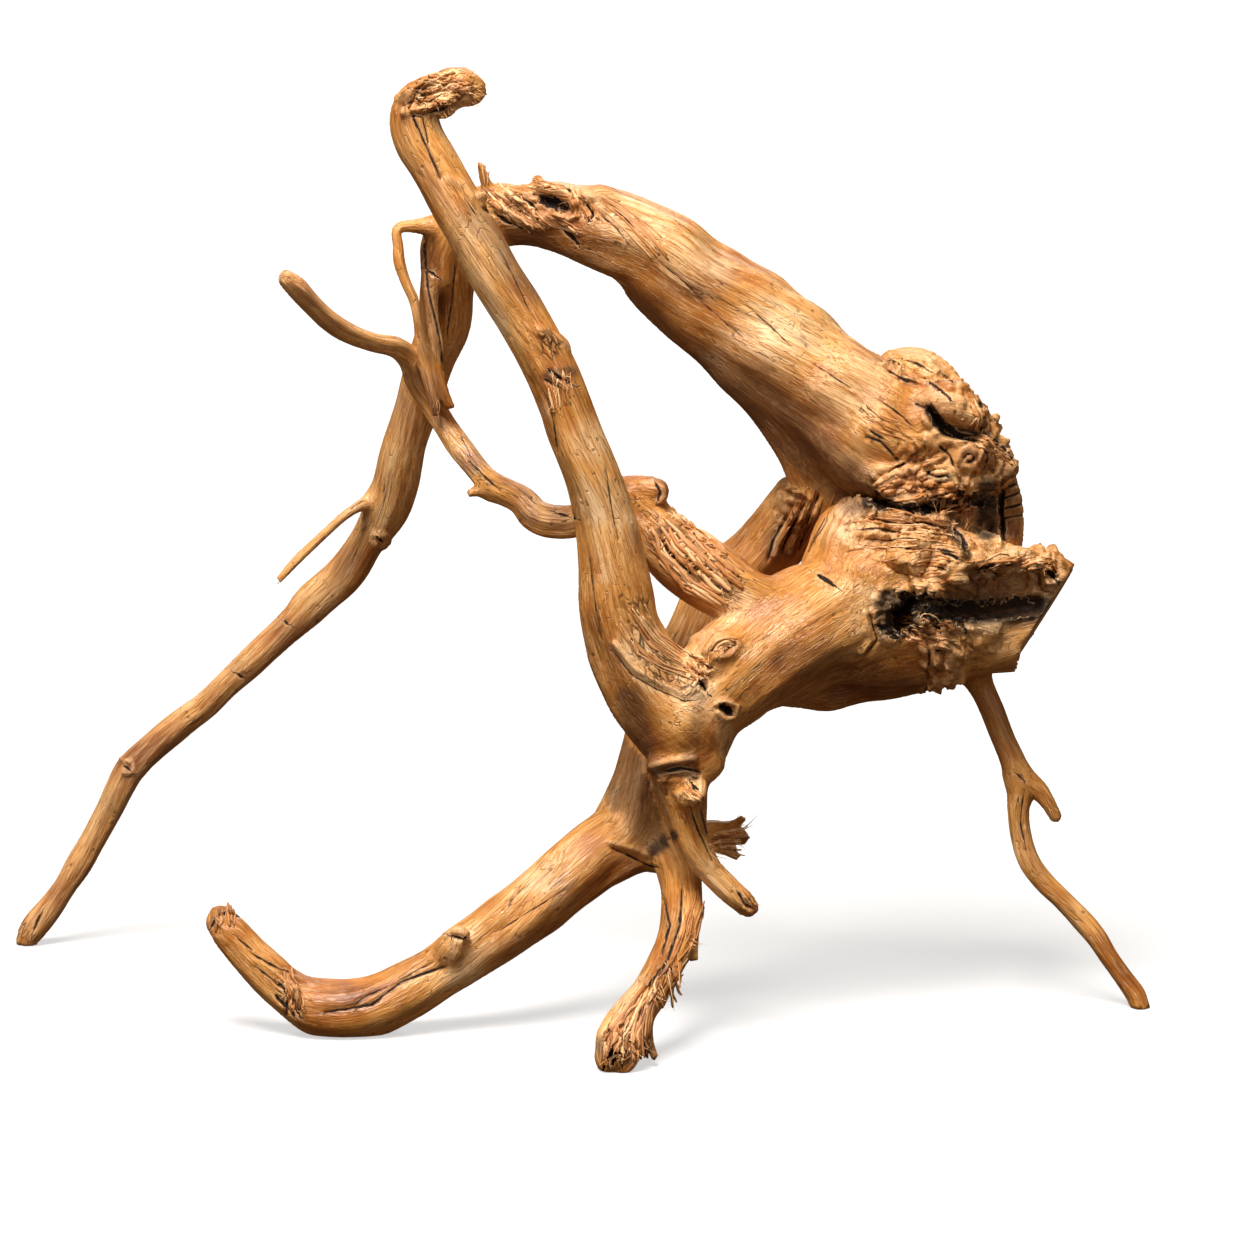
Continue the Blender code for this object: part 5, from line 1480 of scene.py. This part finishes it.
def tuft(rng, across, down, way_across, way_down, towards, count, length, radius, spread, root_px):
    """Strands whose roots are drawn from the front layer of wood round one pixel."""
    off = np.hypot(*(seen - (across, down)).T)
    near = np.flatnonzero(off < max(root_px, off.min() + 1))
    near = near[points[near] @ FORWARD < (points[near] @ FORWARD).min() + FRONT_LAYER]
    chosen = rng.choice(near, count)
    way = np.array([way_across, 0, 0]) - way_down * UPWARD - towards * FORWARD
    ways = way / np.linalg.norm(way) + spread * rng.normal(size=(count, 3)) / 2
    ways /= np.linalg.norm(ways, axis=1)[:, None]
    roots = points[chosen] - normals[chosen] * ROOTED
    curls = CURL * rng.normal(size=(count, 3)) / 2
    sizes = rng.uniform(*STRAND_SIZES, (2, count))
    return strands(roots, ways, sizes[0] * length * MM, sizes[1] * radius * MM, curls)


seen = seen_at(points)
rng = np.random.default_rng(7)
tufts = np.vstack([tuft(rng, *values) for values in TUFTS])
print("loose strands:", len(tufts))

# %% [markdown]
# ## Strips that lie on the wood
#
# Weathered root comes apart in narrow strips that still lie along the surface. A bundle of them is
# given by two lines on the picture; each strip runs between the two, over a part of their length, and
# wavers a little. Its places are found by following the eye's rays down to the wood; past the wood's
# edge a strip goes on straight ahead in shorter and shorter steps, as a loose end does.

# %% Bundles of strips between two lines on the picture
# (count, radius mm, waver px, lift mm, share of the length, darkest, palest, one line, the other)
BUNDLES = [
    (46, 0.62, 4.0, 1.2, 0.7, 0.0, 0.9, [(640, 990), (620, 1012), (603, 1034), (599, 1066)],
     [(666, 972), (654, 1004), (648, 1036), (650, 1068)]),
    (40, 0.50, 7.0, 2.5, 0.5, 0.0, 1.0, [(612, 1024), (603, 1046), (600, 1072)],
     [(650, 1024), (650, 1046), (644, 1074)]),
    (16, 0.50, 3.0, 1.0, 0.3, 0.1, 0.9, [(694, 884), (684, 930), (668, 965), (645, 1000)],
     [(706, 900), (698, 940), (682, 975), (660, 1012)]),
    (7, 0.50, 5.0, 2.0, 0.7, 0.3, 1.0, [(664, 966), (668, 1000), (664, 1044)],
     [(676, 950), (680, 990), (672, 1036)]),
    (44, 0.60, 7.0, 1.0, 0.35, 0.05, 1.0, [(404, 112), (425, 104), (450, 102), (478, 102)],
     [(410, 84), (434, 74), (456, 70), (478, 74)]),
    (16, 0.45, 5.0, 1.5, 0.35, 0.1, 0.9, [(412, 116), (432, 112), (448, 108)],
     [(410, 100), (432, 98), (452, 92)]),
    (50, 0.62, 3.0, 1.2, 0.5, 0.1, 1.0, [(472, 188), (494, 206), (515, 222), (540, 238)],
     [(500, 182), (520, 198), (536, 212), (550, 226)]),
    (14, 0.55, 2.0, 1.5, 0.6, 0.2, 1.0, [(512, 184), (536, 190), (560, 190)],
     [(524, 182), (548, 184), (572, 188)]),
    (16, 0.60, 2.5, 1.0, 0.6, 0.2, 1.0, [(566, 184), (570, 200), (574, 218)],
     [(580, 190), (592, 204), (598, 220)]),
    (14, 0.55, 2.5, 0.8, 0.6, 0.1, 0.9, [(540, 218), (560, 230), (580, 240)],
     [(548, 212), (566, 218), (584, 228)]),
    (14, 0.35, 1.5, 0.2, 0.6, 0.2, 0.8, [(592, 186), (622, 200), (652, 224), (676, 250)],
     [(598, 206), (624, 228), (646, 252), (664, 276)]),
    (14, 0.32, 2.5, 0.8, 0.6, 0.2, 1.0, [(544, 372), (548, 392), (552, 414)],
     [(570, 366), (572, 388), (574, 410)]),
    (8, 0.30, 1.5, 0.2, 0.7, 0.2, 0.8, [(456, 176), (466, 196), (478, 216)],
     [(446, 186), (458, 204), (470, 222)]),
    (70, 0.80, 2.5, 0.3, 0.32, 0.2, 0.95, [(648, 528), (656, 560), (684, 590), (724, 612)],
     [(676, 508), (706, 532), (732, 556), (752, 580)]),
    (30, 0.45, 5.0, 1.6, 0.3, 0.2, 0.9, [(666, 508), (696, 532), (722, 554)],
     [(672, 516), (700, 542), (726, 566)]),
    (26, 0.55, 2.5, 0.3, 0.3, 0.2, 0.9, [(650, 540), (664, 530), (684, 520)],
     [(706, 606), (722, 590), (736, 578)]),
    (26, 0.32, 2.0, 0.2, 0.5, 0.35, 0.95, [(612, 620), (634, 655), (660, 672), (700, 684)],
     [(640, 600), (662, 634), (688, 652), (710, 664)]),
    (20, 0.45, 4.0, 1.0, 0.5, 0.15, 0.95, [(682, 668), (694, 678), (704, 686)],
     [(694, 650), (706, 660), (714, 668)]),
    (8, 0.50, 1.0, 0.2, 1.0, 0.4, 0.9, [(708, 650), (714, 640), (726, 636), (737, 640)],
     [(718, 652), (722, 647), (728, 645), (732, 648)]),
    (20, 1.25, 1.5, 0.3, 0.32, 0.4, 0.9, [(872, 484), (892, 472), (918, 464), (950, 466)],
     [(884, 500), (905, 498), (930, 500), (962, 494)]),
    (18, 0.45, 4.0, 0.3, 0.25, 0.1, 0.7, [(874, 488), (895, 474), (920, 466), (950, 468)],
     [(886, 502), (906, 500), (930, 502), (960, 498)]),
    (16, 0.80, 6.0, 1.2, 0.35, 0.1, 0.9, [(935, 500), (955, 492), (980, 490)],
     [(938, 518), (960, 518), (982, 514)]),
    (40, 0.38, 4.0, 0.0, 0.3, 0.25, 0.9, [(848, 506), (880, 510), (920, 514), (962, 524)],
     [(862, 560), (892, 564), (924, 558), (958, 562)]),
    (24, 0.50, 3.5, 0.8, 0.3, 0.25, 0.95, [(956, 562), (985, 556), (1015, 553), (1048, 556)],
     [(958, 584), (985, 578), (1015, 572), (1050, 566)]),
    (14, 0.50, 3.0, 1.0, 0.5, 0.05, 0.7, [(276, 972), (288, 990), (290, 1014)],
     [(292, 968), (302, 990), (305, 1016)]),
    (10, 0.45, 2.0, 1.0, 0.7, 0.05, 0.6, [(214, 934), (216, 920), (219, 908)],
     [(236, 928), (234, 914), (230, 904)]),
    (30, 0.42, 6.0, 0.5, 0.3, 0.1, 0.8, [(890, 606), (915, 612), (945, 616), (962, 622)],
     [(892, 632), (915, 642), (940, 652), (958, 656)]),
    (16, 0.45, 3.0, 0.5, 0.4, 0.2, 0.9, [(905, 560), (925, 556), (950, 556)],
     [(912, 588), (932, 590), (958, 588)]),
    (14, 0.40, 2.0, 1.2, 0.6, 0.05, 0.8, [(735, 880), (745, 896), (753, 909)],
     [(744, 876), (755, 890), (762, 903)]),
    (18, 0.60, 2.5, 1.5, 0.7, 0.1, 1.0, [(712, 834), (728, 832), (748, 824)],
     [(712, 852), (730, 852), (748, 860)]),
    (34, 0.34, 2.0, 0.2, 0.5, 0.0, 0.35, [(802, 478), (786, 516), (770, 552)],
     [(836, 490), (828, 522), (812, 552)]),
    (14, 0.50, 3.0, 0.8, 0.5, 0.2, 0.95, [(972, 396), (984, 414), (978, 436)],
     [(966, 402), (976, 418), (970, 432)]),
    (18, 0.50, 3.0, 0.8, 0.4, 0.2, 0.95, [(962, 430), (988, 436), (1014, 456)],
     [(976, 446), (1000, 460), (1017, 470)]),
    (9, 0.30, 2.5, 0.1, 0.4, 0.1, 0.6, [(868, 400), (888, 404), (908, 414), (926, 428)],
     [(856, 420), (878, 430), (900, 440), (918, 452)]),
    (14, 0.45, 2.5, 0.8, 0.5, 0.1, 0.8, [(1042, 556), (1056, 560), (1062, 572)],
     [(1036, 562), (1048, 568), (1054, 580)]),
    (8, 0.35, 2.0, 1.0, 0.5, 0.2, 0.9, [(682, 792), (690, 800), (700, 806)],
     [(690, 782), (702, 788), (708, 800)]),
    (6, 0.35, 1.0, 0.8, 0.7, 0.2, 0.9, [(484, 186), (482, 172), (482, 162)],
     [(490, 184), (488, 172), (486, 162)]),
]
STRIP_RINGS = 12
STRIP_SIDES = 6
GUIDE_STEPS = 40
STRIP_LENGTHS = (0.6, 1.4)
STRIP_RADII = (0.5, 1.2)
WAVES = (2, 6)
SWINGS = (0.3, 1)
LIFTS = (-0.2, 1)
TUFT_TONES = (0.2, 1)
THINNEST, BLUNT_END = 0.25, 0.06
SUNK_SHARE = 0.25
FLATTENED = 0.8
SAME_LAYER = 4 * MM
PAST_EDGE = 0.72
wood_rays = BVHTree.FromPolygons(points.tolist(), corners.tolist())


def evenly(line):
    """The line on the picture at places spaced evenly along it."""
    line = np.array(line, float)
    run = np.concatenate([[0], np.hypot(*np.diff(line, axis=0).T).cumsum()])
    steps = np.linspace(0, run[-1], GUIDE_STEPS)
    return np.column_stack([np.interp(steps, run, line[:, axis]) for axis in (0, 1)])


def dropped(pixels):
    """Where the eye's rays through these pixels meet the wood, its normals, and on ahead off its edge."""
    spots, faces = [], []
    for across, down in pixels:
        toward = Vector(place(across, down, 0) - EYE).normalized()
        spot, normal, _, far = wood_rays.ray_cast(Vector(EYE), toward)
        if spots and (spot is None or abs(far - last_far) > SAME_LAYER):
            step = spots[-1] - spots[-2] if len(spots) > 1 else Vector()
            spot, normal = spots[-1] + step * PAST_EDGE, faces[-1]
        elif spot is None:
            return None
        else:
            last_far = far
        spots.append(spot)
        faces.append(normal)
    return np.array(spots), np.array(faces)


def bundle(rng, count, radius, waver, lift, share, darkest, palest, one, other):
    """Strips between two lines: their rings of points, and how pale each strip is."""
    one, other = evenly(one), evenly(other)
    t = np.linspace(0, 1, STRIP_RINGS)
    made = []
    for _ in range(count):
        between, length = rng.random(), min(1, share * rng.uniform(*STRIP_LENGTHS))
        run = (rng.uniform(0, 1 - length) + length * t) * (GUIDE_STEPS - 1)
        guide = one + between * (other - one)
        pixels = np.column_stack([np.interp(run, np.arange(GUIDE_STEPS), guide[:, axis]) for axis in (0, 1)])
        waves = rng.uniform(0, 2 * math.pi, (2, 2)), rng.uniform(*WAVES, (2, 2))
        swing = np.sin(waves[0] + waves[1] * t[:, None, None]).mean(axis=1)
        pixels += waver * swing * rng.uniform(*SWINGS)
        found = dropped(pixels)
        if found is not None and np.ptp(found[0], axis=0).max() > radius * MM:
            thickness, lifted = radius * rng.uniform(*STRIP_RADII), lift * rng.uniform(*LIFTS)
            made.append((*found, thickness, lifted * rng.choice((1, 1, -1))))
    centres, outward, radii, lifts = (np.array(values) for values in zip(*made))
    lifts = lifts[:, None]
    raised = radii[:, None] * SUNK_SHARE + np.where(lifts > 0, lifts * t**2, -lifts * (1 - t) ** 2)
    centres = centres + outward * raised[..., None] * MM
    ahead = np.gradient(centres, axis=1)
    side = np.cross(ahead, outward)
    side /= np.maximum(np.linalg.norm(side, axis=2), TINY)[..., None]
    over = np.cross(side, ahead)
    over /= np.maximum(np.linalg.norm(over, axis=2), TINY)[..., None]
    bulge = np.sqrt(np.sin(math.pi * (BLUNT_END + (1 - 2 * BLUNT_END) * t)))
    thin = radii[:, None] * (THINNEST + (1 - THINNEST) * bulge) * MM
    turn = np.arange(STRIP_SIDES) * 2 * math.pi / STRIP_SIDES
    spokes = side[:, :, None] * np.cos(turn)[:, None] + FLATTENED * over[:, :, None] * np.sin(turn)[:, None]
    rings = centres[:, :, None] + spokes * thin[..., None, None]
    return rings.reshape(len(radii), -1, 3), rng.uniform(darkest, palest, len(radii))


def tubes(shells, rings, sides):
    """The points and faces of many closed tubes with the same number of rings."""
    quads = lathe_faces(rings, sides)
    per_tube = rings * sides
    caps = np.array([range(sides)[::-1], range(per_tube - sides, per_tube)])
    firsts = np.arange(len(shells))[:, None, None] * per_tube
    faces = (firsts + quads).reshape(-1, 4).tolist() + (firsts + caps).reshape(-1, sides).tolist()
    return shells.reshape(-1, 3).clip(cad_low, cad_high), faces


bundles = [bundle(rng, *values) for values in BUNDLES]
strips = np.vstack([rings for rings, _ in bundles])
strip_tones = np.concatenate([tone for _, tone in bundles])
torn_fibres = new_object(
    "torn_fibres", [tubes(tufts, STRAND_RINGS, STRAND_SIDES), tubes(strips, STRIP_RINGS, STRIP_SIDES)]
)
fibre_tones = np.concatenate([
    np.repeat(rng.uniform(*TUFT_TONES, len(tufts)), STRAND_RINGS * STRAND_SIDES),
    np.repeat(strip_tones, STRIP_RINGS * STRIP_SIDES),
])
write_attribute(torn_fibres.data, "fibre_tone", "FLOAT", "POINT", fibre_tones)
torn_fibres.data.shade_smooth()
torn_fibres.data.calc_loop_triangles()
print("strips:", len(strips), "triangles in all:", len(torn_fibres.data.loop_triangles))

# %% [markdown]
# ## Finish: torn root fibre
#
# A torn fibre is the same wood without its weathered face: paler, dry and matt. A fibre is too thin to
# show any grain, so its tone only drifts from place to place, over about 4 mm.

# %% The fibres' material
FIBRE_TONE = 0.004
FIBRE_BUMP = 0.2 * MM
# (tone from, tone to, colour it changes to)
FIBRE_COLOURS = [(0.05, 0.45, "#B3743A"), (0.45, 0.95, "#E4BC8A")]

fibre, tree, shader = new_material("torn_root_fibre", Roughness=0.5, IOR=1.5)
object_place = add(tree, "TexCoord", output="Object")
tone = add(tree, "TexNoise", {"Vector": object_place, "Scale": 1 / FIBRE_TONE, "Detail": 2})
tone = add(tree, "Math", (tone, 0.35), operation="MULTIPLY")
own_tone = add(tree, "Attribute", output="Fac", attribute_name="fibre_tone")
tone = add(tree, "Math", (own_tone, 0.75, tone), operation="MULTIPLY_ADD")
colour = linear("#3A1D0A")
for start, end, hex_colour in FIBRE_COLOURS:
    share = add(tree, "MapRange", (tone, start, end, 0, 1), **SOFT)
    colour = add(tree, "Mix", {0: share, 6: colour, 7: linear(hex_colour)}, 2, data_type="RGBA")
tree.links.new(colour, shader.inputs["Base Color"])
bump = add(tree, "Bump", {"Height": tone, "Strength": 0.3, "Distance": FIBRE_BUMP})
tree.links.new(bump, shader.inputs["Normal"])
torn_fibres.data.materials.append(fibre)
print("nodes in the fibre's material:", len(tree.nodes))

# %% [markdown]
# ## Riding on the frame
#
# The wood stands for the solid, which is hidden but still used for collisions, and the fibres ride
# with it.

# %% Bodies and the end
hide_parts("driftwood_root")
for piece in (driftwood, torn_fibres):
    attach(piece, "root")
